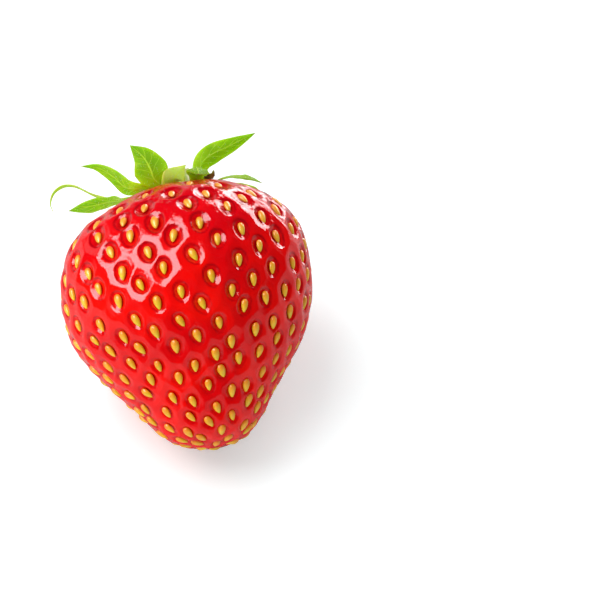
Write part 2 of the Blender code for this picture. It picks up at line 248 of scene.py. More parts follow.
class Wiring:
    """A node tree with short calls for adding and joining its nodes."""

    def __init__(self, tree: bpy.types.NodeTree) -> None:
        """Wraps a tree that may already hold nodes."""
        self.tree = tree

    def feed(self, socket: Socket, value: Any) -> None:
        """Fills an input.

        Args:
            socket: The input.
            value: Another socket to join it to, or a plain value. A colour is made opaque.
        """
        if isinstance(value, bpy.types.NodeSocket):
            self.tree.links.new(value, socket)
        else:
            socket.default_value = (*value, 1.0) if socket.type == "RGBA" else value

    def add(self, kind: str, inputs: dict[Any, Any] | None = None, **settings: Any) -> bpy.types.Node:
        """Adds a node.

        Args:
            kind: The node's type.
            inputs: Values or sockets for its inputs, by name or by number.
            settings: The node's own properties.

        Returns:
            The new node.
        """
        node = self.tree.nodes.new(kind)
        for name, value in settings.items():
            setattr(node, name, value)
        for name, value in (inputs or {}).items():
            self.feed(node.inputs[name], value)
        return node

    def math(self, operation: str, *values: Any) -> Socket:
        """One Math node; returns its result."""
        return self.add("ShaderNodeMath", dict(enumerate(values)), operation=operation).outputs[0]

    def scaled(self, vector: Any, factor: Any) -> Socket:
        """A vector times a number."""
        return self.add("ShaderNodeVectorMath", {0: vector, "Scale": factor}, operation="SCALE").outputs[0]

    def ramp(self, value: Any, low: float, high: float, to_low: float = 0.0, to_high: float = 1.0) -> Socket:
        """Carries a value smoothly from one range to another, and keeps it inside that.

        Args:
            value: The value or its socket.
            low: Where it starts to change.
            high: Where it has changed fully.
            to_low: What `low` gives.
            to_high: What `high` gives.

        Returns:
            The value that it becomes.
        """
        names = ("Value", "From Min", "From Max", "To Min", "To Max")
        inputs = dict(zip(names, (value, low, high, to_low, to_high)))
        return self.add("ShaderNodeMapRange", inputs, interpolation_type="SMOOTHSTEP").outputs[0]

    def mix(self, factor: Any, first: Any, second: Any) -> Socket:
        """Mixes two colours.

        Args:
            factor: 0 for the first, 1 for the second.
            first: A colour or its socket.
            second: Another one.

        Returns:
            The mixed colour.
        """
        node = self.add("ShaderNodeMix", data_type="RGBA")
        for number, value in ((0, factor), (6, first), (7, second)):
            self.feed(node.inputs[number], value)
        return node.outputs[2]

    def attribute(self, name: str) -> Socket:
        """The number stored on the mesh under a name, for a shader."""
        return self.add("ShaderNodeAttribute", attribute_name=name).outputs["Fac"]

    def place(self) -> Socket:
        """The piece's own coordinates."""
        return self.add("ShaderNodeTexCoord").outputs["Object"]

    def cloud(self, size: float, detail: float = 2.0, place: Any = None) -> Socket:
        """Noise from 0 to 1, with bumps about `size` metres across."""
        inputs = {"Vector": place or self.place(), "Scale": 1.0 / size, "Detail": detail}
        return self.add("ShaderNodeTexNoise", inputs).outputs[0]

    def random(self, seed: Any, low: float = 0.0, high: float = 1.0) -> Socket:
        """A number for each point, between two values and the same every time."""
        return self.add("FunctionNodeRandomValue", {"Seed": seed, 2: low, 3: high}).outputs[1]

    def stored(self, name: str, kind: str = "FLOAT") -> Socket:
        """What the points carry under a name, for geometry."""
        return self.add("GeometryNodeInputNamedAttribute", {"Name": name}, data_type=kind).outputs[0]

    def store(self, geometry: Socket, name: str, value: Socket, domain: str = "POINT") -> Socket:
        """Gives a geometry a number under a name; returns the geometry."""
        inputs = {"Geometry": geometry, "Name": name, "Value": value}
        return self.add("GeometryNodeStoreNamedAttribute", inputs, domain=domain).outputs[0]


class Group(Wiring):
    """A node group with named inputs and outputs, for materials or for geometry."""

    def __init__(self, name: str, kind: str, inputs: dict[str, Kind], outputs: dict[str, Kind]) -> None:
        """Makes the group, with one Group Input and one Group Output node.

        Args:
            name: The group's name.
            kind: ShaderNodeTree or GeometryNodeTree.
            inputs: Its inputs' names and kinds, in order.
            outputs: Its outputs' names and kinds, in order.
        """
        super().__init__(bpy.data.node_groups.new(name, kind))
        for direction, sockets in (("INPUT", inputs), ("OUTPUT", outputs)):
            for label, what in sockets.items():
                self.tree.interface.new_socket(name=label, in_out=direction, socket_type=what.value)
        self.given = self.add("NodeGroupInput").outputs
        self.result = self.add("NodeGroupOutput").inputs

    def place_in(self, wiring: Wiring, inputs: dict[str, Any]) -> bpy.types.Node:
        """Puts a shader group into a material with its own values."""
        return wiring.add("ShaderNodeGroup", inputs, node_tree=self.tree)

    def dress(self, geometry: Socket, output: str) -> None:
        """Makes instances real, gives them the group's Finish and puts them out.

        Args:
            geometry: The instances.
            output: The name of the group's output.
        """
        real = self.add("GeometryNodeRealizeInstances", {"Geometry": geometry}).outputs[0]
        dressed = self.add("GeometryNodeSetMaterial", {"Geometry": real, "Material": self.given["Finish"]})
        self.feed(self.result[output], dressed.outputs[0])

    def run_on(self, piece: bpy.types.Object, values: dict[str, Any]) -> bpy.types.Object:
        """Runs a geometry group on a piece.

        Args:
            piece: The piece, whose mesh is the group's first input.
            values: The other inputs by name, with the material as Finish.

        Returns:
            The piece, with a plain mesh of what the group made.
        """
        identifiers = {item.name: item.identifier for item in self.tree.interface.items_tree}
        modifier = piece.modifiers.new(self.tree.name, "NODES")
        modifier.node_group = self.tree
        for name, value in values.items():
            modifier[identifiers[name]] = value
        return settle(piece, values["Finish"])


class Surface(Wiring):
    """A material with its Principled shader, and short calls for the shader's sockets."""

    def __init__(self, name: str) -> None:
        """Makes the material, under its own name."""
        self.material = bpy.data.materials.new(name)
        self.material.use_nodes = True
        super().__init__(self.material.node_tree)
        self.shader = self.tree.nodes["Principled BSDF"]

    def set(self, values: dict[str, Any]) -> None:
        """Sets the shader's sockets by name, or joins them to others."""
        for name, value in values.items():
            self.feed(self.shader.inputs[name], value)

    def roughen(self, size: float, low: float, high: float) -> None:
        """Lets the roughness wander between two values in patches about `size` metres across."""
        self.set({"Roughness": self.ramp(self.cloud(size), *NOISE_RANGE, low, high)})

    def emboss(self, height: Any, distance: float, strength: float = 0.8) -> None:
        """Gives the surface fine relief, `distance` metres high where the height is 1."""
        bump = self.add("ShaderNodeBump", {"Height": height, "Distance": distance, "Strength": strength})
        self.set({"Normal": bump.outputs[0]})


# ---------------------------------------------------------------------------------------------- fruit


@dataclass(frozen=True)
class FruitShape:
    """The fruit's smooth outer form, without its pits: a bowed, slightly ribbed turned shape.

    The profile is (height above the tip, radius) in mm, from the tip round to the calyx hollow. Starts and
    spans are shares of the length. A ridge wave is (ribs round the fruit, phase, share of the full height).
    """

    length: float = 37.6 * MM
    profile_mm: tuple[tuple[float, float], ...] = (
        (0.0, 0.0), (1.5, 5.0), (4.0, 7.7), (7.6, 10.4), (11.4, 13.3), (16.1, 16.2), (20.9, 17.4),
        (25.5, 17.4), (30.2, 16.1), (33.7, 12.9), (35.6, 9.8), (36.6, 7.2), (36.8, 5.6), (36.2, 4.2),
        (35.9, 2.2), (35.8, 0.0),
    )
    samples: int = 600
    bow: float = 1.3 * MM
    slant: float = 0.05
    slant_start: float = 0.6
    ridge: float = 0.012
    ridge_start: float = 0.35
    ridge_span: float = 0.4
    ridge_waves: tuple[tuple[int, float, float], ...] = ((3, 1.8, 1.0), (5, 0.5, 0.8))
    tilt: float = math.radians(26.0)
    flat_depth: float = 0.45 * MM

    def profile(self) -> np.ndarray:
        """The outline that is turned round the axis.

        Returns:
            (height, radius) pairs in metres, evenly spaced from the tip to the hollow.
        """
        profile = curve_through(np.array(self.profile_mm) * MM, self.samples)
        profile[:, 1] = np.maximum(profile[:, 1], 0.0)
        profile[0, 1] = profile[-1, 1] = 0.0
        return profile

    def crest(self) -> float:
        """The share of the profile where it is highest, on the shoulder round the hollow."""
        return int(self.profile()[:, 0].argmax()) / (self.samples - 1)

    def skin(self, share: np.ndarray, turn: np.ndarray) -> np.ndarray:
        """Points on the skin, in the fruit's frame.

        Args:
            share: Places along the profile, from 0 at the tip to 1 in the hollow.
            turn: Angles round the axis, in radians, of the same shape as share.

        Returns:
            An array of points, one for each pair.
        """
        profile = self.profile()
        at = np.clip(share, 0.0, 1.0) * (self.samples - 1)
        z = np.interp(at, np.arange(self.samples), profile[:, 0])
        radius = np.interp(at, np.arange(self.samples), profile[:, 1])
        height = z / self.length
        upper = smoothstep((height - self.ridge_start) / self.ridge_span)
        ribs = sum(part * np.cos(count * turn + phase) for count, phase, part in self.ridge_waves)
        swell = 1.0 + self.ridge * upper * ribs
        x, y = radius * np.cos(turn), radius * np.sin(turn)
        bowed = x * swell - self.bow * np.sin(math.pi * np.clip(height, 0.0, 1.0))
        raised = z + self.slant * x * smoothstep((height - self.slant_start) / (1.0 - self.slant_start))
        return np.stack([bowed, y * swell, raised], axis=-1)

    def frames(self, share: np.ndarray, turn: np.ndarray) -> tuple[np.ndarray, ...]:
        """Where places on the skin are and how they face, in the fruit's frame.

        Args:
            share: Places along the profile.
            turn: Angles round the axis.

        Returns:
            The points, and unit vectors across the fruit, up to the calyx and out of the skin.
        """
        step, small_turn = 1.0 / (self.samples - 1), 0.01
        up = unit(self.skin(share + step, turn) - self.skin(share - step, turn))
        around = self.skin(share, turn + small_turn) - self.skin(share, turn - small_turn)
        out = unit(np.cross(around, up))
        return self.skin(share, turn), np.cross(up, out), up, out

    def placement(self) -> Matrix:
        """Where the fruit's frame stands in the world.

        Returns:
            Its matrix, tilted, with the middle of the flat at the origin.
        """
        turn = Matrix.Rotation(self.tilt - math.pi / 2, 4, "X")
        share, around = np.meshgrid(np.linspace(0, 1, self.samples), np.linspace(0, 2 * math.pi, 361))
        turned = self.skin(share, around).reshape(-1, 3) @ np.array(turn.to_3x3()).T
        floor = turned[:, 2].min() + self.flat_depth
        pressed = turned[turned[:, 2] < floor]
        middle = (pressed.min(axis=0) + pressed.max(axis=0)) / 2
        return Matrix.Translation((-middle[0], -middle[1], -floor)) @ turn

    def world(self, points: np.ndarray) -> np.ndarray:
        """Points of the fruit's frame in the world."""
        placement = np.array(self.placement())
        return points @ placement[:3, :3].T + placement[:3, 3]


@dataclass(frozen=True)
class AcheneSpiral:
    """Where the achenes grow: a golden-angle spiral, closest at the tip, a little uneven as grown.

    Spacing is given by height above the tip, as a share of the fruit's length, and pits by the share along
    the profile. A spread is how far each differs from its neighbours, as a share of the whole.
    """

    heights: tuple[float, ...] = (0.0, 0.2, 0.35, 0.6, 0.85, 1.0)
    spacing_mm: tuple[float, ...] = (2.5, 3.1, 3.4, 3.8, 4.0, 5.2)
    top_radius: float = 8.0 * MM
    phase: float = 0.94
    wander: float = 0.30 * MM
    lean: float = math.radians(9.0)
    lean_spread: float = math.radians(8.0)
    pit_shares: tuple[float, ...] = (0.0, 0.30, 0.50, 0.65, 0.90)
    pit_sizes: tuple[float, ...] = (0.74, 0.86, 0.97, 1.10, 1.32)
    pit_depths: tuple[float, ...] = (0.78, 0.92, 1.02, 1.12, 1.35)
    size_spread: float = 0.08
    depth_spread: float = 0.12

    def sites(self, shape: FruitShape) -> dict[str, np.ndarray]:
        """The places of all achenes, in the fruit's frame.

        Args:
            shape: The fruit that they grow on.

        Returns:
            Arrays by name: place, across, up, out, each pit's size and depth as shares of a full one, and
            ripe, the place along the profile.
        """
        profile = shape.profile()
        shoulder = np.flatnonzero(profile[:, 1] > self.top_radius)[-1]
        height, radius = profile[:shoulder, 0], profile[:shoulder, 1]
        step = np.linalg.norm(np.diff(profile[:shoulder + 1], axis=0), axis=1)
        spacing = np.interp(height / shape.length, self.heights, self.spacing_mm) * MM
        count = np.cumsum(2 * math.pi * radius * step / spacing ** 2)
        order = np.arange(int(count[-1]))
        at = np.interp(order + 0.5, count, np.arange(shoulder))
        dice = np.random.default_rng(SEED)
        ring = np.maximum(np.interp(at, np.arange(shoulder), radius), 1.0 * MM)
        turn = self.phase - order * GOLDEN_ANGLE + dice.normal(0.0, self.wander, len(order)) / ring
        at = np.clip(at + dice.normal(0.0, self.wander, len(order)) / step.mean(), 1.0, shoulder)
        share = at / (shape.samples - 1)
        place, across, up, out = shape.frames(share, turn)
        lean = (self.lean + dice.normal(0.0, self.lean_spread, len(order)))[:, None]
        up, across = up * np.cos(lean) - across * np.sin(lean), across * np.cos(lean) + up * np.sin(lean)
        sizes = dice.uniform(1.0 - self.size_spread, 1.0 + self.size_spread, len(order))
        depths = dice.uniform(1.0 - self.depth_spread, 1.0 + self.depth_spread, len(order))
        return {
            "place": place, "across": across, "up": up, "out": out, "ripe": share,
            "size": np.interp(share, self.pit_shares, self.pit_sizes) * sizes,
            "depth": np.interp(share, self.pit_shares, self.pit_depths) * depths,
        }


@dataclass(frozen=True)
class FleshFinish:
    """Glossy ripe skin: clear red, paler round the hollow, with painted shade in its pits and round their
    rims.

    Towards the calyx it turns crinkled, and crimson with painted shade on the shoulder. The crinkles are
    drawn out up the fruit, by the share crinkle_draw. The ranges run along the profile from the tip, apart
    from deep_range, which is a cloud's, and pit_range, which is the depth in a pit.
    """

    bright: Colour = (0.93, 0.004, 0.002)
    deep: Colour = (0.76, 0.001, 0.003)
    # painted shade: the darker crimson laid on the shoulder towards the calyx
    shoulder_shade: Colour = (0.62, 0.001, 0.011)
    # painted shade: the darker red deep in each pit
    pit: Colour = (0.55, 0.001, 0.002)
    # painted shade: the dark ring round each pit's rim
    rim_shade: Colour = (0.34, 0.000, 0.004)
    pale: Colour = (0.86, 0.30, 0.13)
    patches: float = 6.0 * MM
    deep_range: Range = (0.35, 0.7)
    shoulder_shade_range: Range = (0.50, 0.85)
    pit_range: Range = (0.45, 0.95)
    rim_shade_range: Range = (0.25, 0.60, 0.35, 0.85)
    pale_range: Range = (0.93, 1.0, 0.0, 0.9)
    roughness: float = 0.085
    gloss_level: float = 0.5
    glow: float = 0.30
    glow_depth: float = 1.2 * MM
    glow_spread: tuple[float, float, float] = (1.0, 0.12, 0.08)
    grain: float = 0.30 * MM
    crinkle: float = 1.1 * MM
    crinkle_draw: float = 0.22
    crinkle_range: Range = (0.52, 0.82, 3.0, 26.0)
    bump_depth: float = 0.010 * MM

    def make(self, ripple: Group) -> bpy.types.Material:
        """Builds the material.

        Args:
            ripple: The group that makes fine uneven skin.

        Returns:
            The material, which reads the flesh's pit, rim shade and height attributes.
        """
        skin = Surface("ripe_flesh")
        pit, height = skin.attribute("pit"), skin.attribute("height")
        colour = skin.mix(skin.ramp(skin.cloud(self.patches), *self.deep_range), self.bright, self.deep)
        # painted shade: the skin turns crimson towards the calyx, on the shoulder
        colour = skin.mix(skin.ramp(height, *self.shoulder_shade_range), colour, self.shoulder_shade)
        # painted shade: darker red the deeper the skin lies in a pit
        colour = skin.mix(skin.ramp(pit, *self.pit_range), colour, self.pit)
        # painted shade: a dark ring round each pit's rim, weaker towards the tip
        edged = skin.math("MULTIPLY", skin.attribute("rim_shade"), skin.ramp(height, *self.rim_shade_range))
        colour = skin.mix(edged, colour, self.rim_shade)
        colour = skin.mix(skin.ramp(height, *self.pale_range), colour, self.pale)
        skin.set({
            "Base Color": colour, "Specular IOR Level": self.gloss_level, "Subsurface Weight": self.glow,
            "Subsurface Radius": self.glow_spread, "Subsurface Scale": self.glow_depth,
        })
        skin.roughen(1.5 * MM, self.roughness - 0.02, self.roughness + 0.05)
        fine = ripple.place_in(skin, {"Size": self.grain, "Coarse": 0.5})
        along_axis = skin.add("ShaderNodeMapping", {
            "Vector": skin.place(), "Rotation": (math.pi / 2 - FruitShape.tilt, 0.0, 0.0),
            "Scale": (1.0, 1.0, self.crinkle_draw)})
        creases = skin.cloud(self.crinkle, 3.0, along_axis.outputs[0])
        creased = skin.math("MULTIPLY", creases, skin.ramp(height, *self.crinkle_range))
        skin.emboss(skin.math("ADD", fine.outputs["Height"], creased), self.bump_depth, 1.0)
        return skin.material


@dataclass
class Flesh:
    """The fleshy receptacle: one closed skin with a pit for every achene, flat where it rests.

    Places and spreads of the lip, the painted rim shade and the quilting between pits are in shares of a
    pit's size.
    """

    shape: FruitShape
    sites: dict[str, np.ndarray]
    cells: int = 124
    crest_at: float = 0.93
    pit_width: float = 1.20 * MM
    pit_length: float = 1.58 * MM
    pit_depth: float = 0.54 * MM
    pit_drop: float = -0.06 * MM
    pit_flare: float = 0.10
    pit_reach: float = 2.6
    pit_blend: float = 5.0
    far_side: float = 2.5 * MM
    rim_softness: float = 0.06
    rim_shade_at: float = 0.93
    rim_shade_spread: float = 0.09
    lip: float = 0.02 * MM
    lip_at: float = 1.12
    lip_spread: float = 0.14
    quilting: float = 0.20 * MM
    quilting_from: float = 0.9
    quilting_span: float = 1.1
    sway: float = 0.30 * MM
    sway_size: float = 9.0 * MM
    ripple: float = 0.034 * MM
    ripple_size: float = 2.4 * MM

    def sphere_directions(self) -> bpy.types.Mesh:
        """Makes a ball of even square cells from a subdivided cube.

        Returns:
            Its mesh, with every vertex 1 m from the middle.
        """
        ball = bmesh.new()
        bmesh.ops.create_cube(ball, size=2.0)
        bmesh.ops.subdivide_edges(ball, edges=ball.edges, cuts=self.cells - 1, use_grid_fill=True)
        for vertex in ball.verts:
            even = [math.tan(c * math.pi / 4) for c in vertex.co]
            vertex.co = Vector(even).normalized()
        mesh = bpy.data.meshes.new("fruit_flesh")
        ball.to_mesh(mesh)
        ball.free()
        return mesh

    def pit_relief(self, points: np.ndarray) -> tuple[np.ndarray, np.ndarray]:
        """How deep each point lies in the pits, and how far it is from the nearest one.

        Args:
            points: Points on the smooth skin, in the fruit's frame.

        Returns:
            The depth as a share of a pit's depth, and the distance to the nearest pit's middle as a share
            of that pit's size.
        """
        depth, nearest = np.zeros(len(points)), np.full(len(points), math.inf)
        reached = (self.pit_reach * self.pit_length) ** 2
        columns = (self.sites[name] for name in ("place", "across", "up", "out", "size", "depth"))
        for place, across, up, out, size, deep in zip(*columns):
            offset = points - place
            near = np.flatnonzero(np.einsum("ij,ij->i", offset, offset) < reached)
            x, y = offset[near] @ across, offset[near] @ up
            along = (y - self.pit_drop) / (size * self.pit_length)
            wide = size * self.pit_width * (1.0 + self.pit_flare * np.clip(along, -1.0, 1.0))
            reach = (x / wide) ** 2 + along ** 2
            bowl = self.rim_softness * np.logaddexp(0.0, (1.0 - reach) / self.rim_softness)
            bowl = np.where(np.abs(offset[near] @ out) < self.far_side, bowl, 0.0)
            depth[near] += (bowl * deep) ** self.pit_blend
            nearest[near] = np.minimum(nearest[near], np.sqrt(reach))
        return depth ** (1.0 / self.pit_blend), nearest

    def build(self, finish: bpy.types.Material) -> bpy.types.Object:
        """Makes the skin.

        Args:
            finish: The flesh's material.

        Returns:
            The finished piece.
        """
        mesh = self.sphere_directions()
        ways = np.array([v.co for v in mesh.vertices])
        polar = np.arccos(np.clip(-ways[:, 2], -1.0, 1.0)) / math.pi
        share = np.interp(polar, (0.0, self.crest_at, 1.0), (0.0, self.shape.crest(), 1.0))
        turn = np.arctan2(ways[:, 1], ways[:, 0])
        smooth = self.shape.skin(share, turn)
        mesh.vertices.foreach_set("co", smooth.astype(np.float32).ravel())
        mesh.update()
        out = np.array([n.vector for n in mesh.vertex_normals])

        pit, nearest = self.pit_relief(smooth)
        rise = self.lip * np.exp(-(((nearest - self.lip_at) / self.lip_spread) ** 2))
        rise += self.quilting * (smoothstep((nearest - self.quilting_from) / self.quilting_span) - 1.0)
        swaying, rippling = noise_at(smooth, self.sway_size, 2.0), noise_at(smooth, self.ripple_size, 5.0)
        rise += self.sway * swaying + self.ripple * rippling
        rise -= self.pit_depth * pit
        placed = self.shape.world(smooth + out * rise[:, None])
        placed[:, 2] = np.maximum(placed[:, 2], 0.0)
        mesh.vertices.foreach_set("co", placed.astype(np.float32).ravel())
        write_attribute(mesh, "pit", pit)
        # painted shade: where the dark ring round each pit's rim is laid
        write_attribute(mesh, "rim_shade", np.exp(-(((nearest - self.rim_shade_at) / self.rim_shade_spread) ** 2)))
        write_attribute(mesh, "height", share)
        mesh.shade_smooth()
        mesh.update()
        return new_piece("fruit_flesh", mesh, finish)


@dataclass(frozen=True)
class AcheneFinish:
    """Glossy seed coat: yellow and slightly green on its crown, orange round its foot and near the calyx."""

    crown: Colour = (0.98, 0.66, 0.030)
    green: Colour = (0.82, 0.66, 0.020)
    tan: Colour = (0.90, 0.38, 0.050)
    foot: Colour = (0.90, 0.24, 0.006)
    tone_range: Range = (0.1, 0.9)
    tan_range: Range = (0.50, 0.80, 0.0, 0.85)
    mottle_range: Range = (0.4, 0.75, 0.0, 0.35)
    crown_range: Range = (0.15, 0.75)
    roughness: float = 0.34
    coat: float = 0.3
    coat_roughness: float = 0.12
    glow: float = 0.15
    glow_depth: float = 0.4 * MM

    def make(self) -> bpy.types.Material:
        """Builds the material.

        Returns:
            The material, which reads the achenes' crown, tone and ripe attributes.
        """
        seed = Surface("achene_coat")
        crown, tone, ripe = (seed.attribute(name) for name in ("crown", "tone", "ripe"))
        top = seed.mix(seed.ramp(tone, *self.tone_range), self.crown, self.green)
        top = seed.mix(seed.ramp(ripe, *self.tan_range), top, self.tan)
        top = seed.mix(seed.ramp(seed.cloud(0.5 * MM, 3.0), *self.mottle_range), top, self.foot)
        seed.set({
            "Base Color": seed.mix(seed.ramp(crown, *self.crown_range), self.foot, top),
            "Roughness": self.roughness, "Coat Weight": self.coat, "Coat Roughness": self.coat_roughness,
            "Subsurface Weight": self.glow, "Subsurface Scale": self.glow_depth,
        })
        seed.emboss(seed.cloud(0.25 * MM), 0.02 * MM)
        return seed.material


@dataclass
class Achenes:
    """The small dry seeds, one in each pit: egg shapes with their points towards the fruit's tip.

    girth and flare make an egg wider towards the calyx, and point is how much its narrow end is drawn in.
    depth is how far a full pit's egg lies below the smooth skin.
    """

    shape: FruitShape
    sites: dict[str, np.ndarray]
    length: float = 1.78 * MM
    width: float = 1.05 * MM
    height: float = 0.76 * MM
    depth: float = 0.36 * MM
    girth: float = 0.98
    flare: float = 0.24
    point: float = 0.16
    point_power: float = 4.0
    smallest: float = 0.88
    largest: float = 1.08
    sides: int = 8
    rings: int = 6

    def egg_group(self) -> Group:
        """The Geometry Nodes that set an egg on every point, facing out of the skin.

        Returns:
            The group, which reads the points' out and up, and stores crown and tone on the eggs.
        """
        group = Group(
            "achene_spiral",
            "GeometryNodeTree",
            {"Points": Kind.SHAPE, "Length": Kind.NUMBER, "Width": Kind.NUMBER, "Height": Kind.NUMBER,
             "Sides": Kind.WHOLE, "Rings": Kind.WHOLE, "Seed": Kind.WHOLE, "Finish": Kind.FINISH},
            {"Eggs": Kind.SHAPE},
        )
        given = group.given
        ball = group.add("GeometryNodeMeshUVSphere", {"Segments": given["Sides"], "Rings": given["Rings"]})
        place = group.add("ShaderNodeSeparateXYZ", {0: group.add("GeometryNodeInputPosition").outputs[0]})
        across, crown, along = place.outputs
        girth = group.math("MULTIPLY_ADD", along, self.flare, self.girth)
        towards_tip = group.math("MAXIMUM", group.math("MULTIPLY", along, -1.0), 0.0)
        point = group.math("MULTIPLY", group.math("POWER", towards_tip, self.point_power), self.point)
        egg = group.add("ShaderNodeCombineXYZ", {
            "X": group.math("MULTIPLY", group.math("MULTIPLY", across, girth), 0.5),
            "Y": group.math("MULTIPLY", group.math("SUBTRACT", along, point), 0.5),
            "Z": group.math("MULTIPLY", group.math("MULTIPLY", crown, girth), -0.5),
        }).outputs[0]
        shaped = group.add("GeometryNodeSetPosition", {"Geometry": ball.outputs[0], "Position": egg})
        marked = group.store(shaped.outputs[0], "crown", group.math("MULTIPLY_ADD", crown, -0.5, 0.5))
        size = group.add("ShaderNodeCombineXYZ", {
            "X": given["Width"], "Y": given["Length"], "Z": given["Height"]}).outputs[0]
        outward, upward = (group.stored(name, "FLOAT_VECTOR") for name in ("out", "up"))
        facing = group.add("FunctionNodeAlignRotationToVector", {"Vector": outward}, axis="Z").outputs[0]
        turned = group.add(
            "FunctionNodeAlignRotationToVector", {"Rotation": facing, "Vector": upward},
            axis="Y", pivot_axis="Z").outputs[0]
        copies = group.add("GeometryNodeInstanceOnPoints", {
            "Points": given["Points"], "Instance": marked, "Rotation": turned,
            "Scale": group.scaled(size, group.random(given["Seed"], self.smallest, self.largest))})
        tone = group.random(group.math("ADD", given["Seed"], 1.0))
        group.dress(group.store(copies.outputs[0], "tone", tone, "INSTANCE"), "Eggs")
        return group

    def build(self, finish: bpy.types.Material) -> bpy.types.Object:
        """Sets an achene in every pit that is clear of the floor.

        Args:
            finish: The achenes' material.

        Returns:
            The finished piece, all achenes in one mesh.
        """
        turn = np.array(self.shape.placement().to_3x3())
        depth = self.depth * self.sites["depth"][:, None]
        place = self.shape.world(self.sites["place"] - self.sites["out"] * depth)
        kept = place[:, 2] > self.height
        mesh = bpy.data.meshes.new("achenes")
        mesh.from_pydata(place[kept].tolist(), [], [])
        write_attribute(mesh, "out", (self.sites["out"] @ turn.T)[kept])
        write_attribute(mesh, "up", (self.sites["up"] @ turn.T)[kept])
        write_attribute(mesh, "ripe", self.sites["ripe"][kept])
        return self.egg_group().run_on(new_piece("achenes", mesh), {
            "Length": self.length, "Width": self.width, "Height": self.height,
            "Sides": self.sides, "Rings": self.rings, "Seed": SEED, "Finish": finish,
        })


# ---------------------------------------------------------------------------------------------- calyx


@dataclass(frozen=True)
class LeafFinish:
    """Soft sepal green: darker towards the point, yellow-green at the foot, with pale sunken veins."""

    name: str
    face: Colour = (0.22, 0.40, 0.001)
    under: Colour = (0.27, 0.41, 0.002)
    foot: Colour = (0.46, 0.60, 0.002)
    tip: Colour = (0.11, 0.27, 0.001)
    vein: Colour = (0.50, 0.66, 0.050)
    pale: Colour = (0.48, 0.60, 0.120)
    dry: Colour = (0.20, 0.12, 0.030)
    roughness: float = 0.50
    gloss_level: float = 0.10
    glow: float = 0.85
    glow_depth: float = 0.9 * MM
    glow_spread: tuple[float, float, float] = (0.55, 1.0, 0.05)
    mottle_range: Range = (0.35, 0.7, 0.0, 0.5)
    tip_range: Range = (0.45, 1.0, 0.0, 0.6)
    foot_range: Range = (0.42, 0.02, 0.0, 0.85)
    dry_range: Range = (0.955, 1.0)
    vein_strength: float = 0.85
    vein_pairs: float = 7.0
    vein_slant: float = 1.6
    relief: float = 0.06 * MM

    def make(self, veins: Group, ripple: Group) -> bpy.types.Material:
        """Builds the material.

        Args:
            veins: The group that draws a leaf's veins.
            ripple: The group that makes fine uneven skin.

        Returns:
            The material, which reads the sepals' along, across, side and pale attributes.
        """
        leaf = Surface(self.name)
        along, across, side, pale = (leaf.attribute(name) for name in ("along", "across", "side", "pale"))
        drawn = veins.place_in(
            leaf, {"Along": along, "Across": across, "Pairs": self.vein_pairs, "Slant": self.vein_slant})
        colour = leaf.mix(side, self.under, self.face)
        colour = leaf.mix(leaf.ramp(leaf.cloud(1.6 * MM, 3.0), *self.mottle_range), colour, self.tip)
        colour = leaf.mix(leaf.ramp(along, *self.tip_range), colour, self.tip)
        colour = leaf.mix(leaf.ramp(along, *self.foot_range), colour, self.foot)
        colour = leaf.mix(pale, colour, self.pale)
        veined = leaf.math("MULTIPLY", drawn.outputs["Veins"], self.vein_strength)
        colour = leaf.mix(veined, colour, self.vein)
        leaf.set({
            "Base Color": leaf.mix(leaf.ramp(along, *self.dry_range), colour, self.dry),
            "Specular IOR Level": self.gloss_level, "Subsurface Weight": self.glow,
            "Subsurface Radius": self.glow_spread, "Subsurface Scale": self.glow_depth,
        })
        leaf.roughen(0.8 * MM, self.roughness - 0.08, self.roughness + 0.1)
        fine = ripple.place_in(leaf, {"Size": 0.28 * MM, "Coarse": 0.35})
        blistered = leaf.math("MULTIPLY", fine.outputs["Height"], 0.4)
        leaf.emboss(leaf.math("SUBTRACT", blistered, drawn.outputs["Veins"]), self.relief)
        return leaf.material


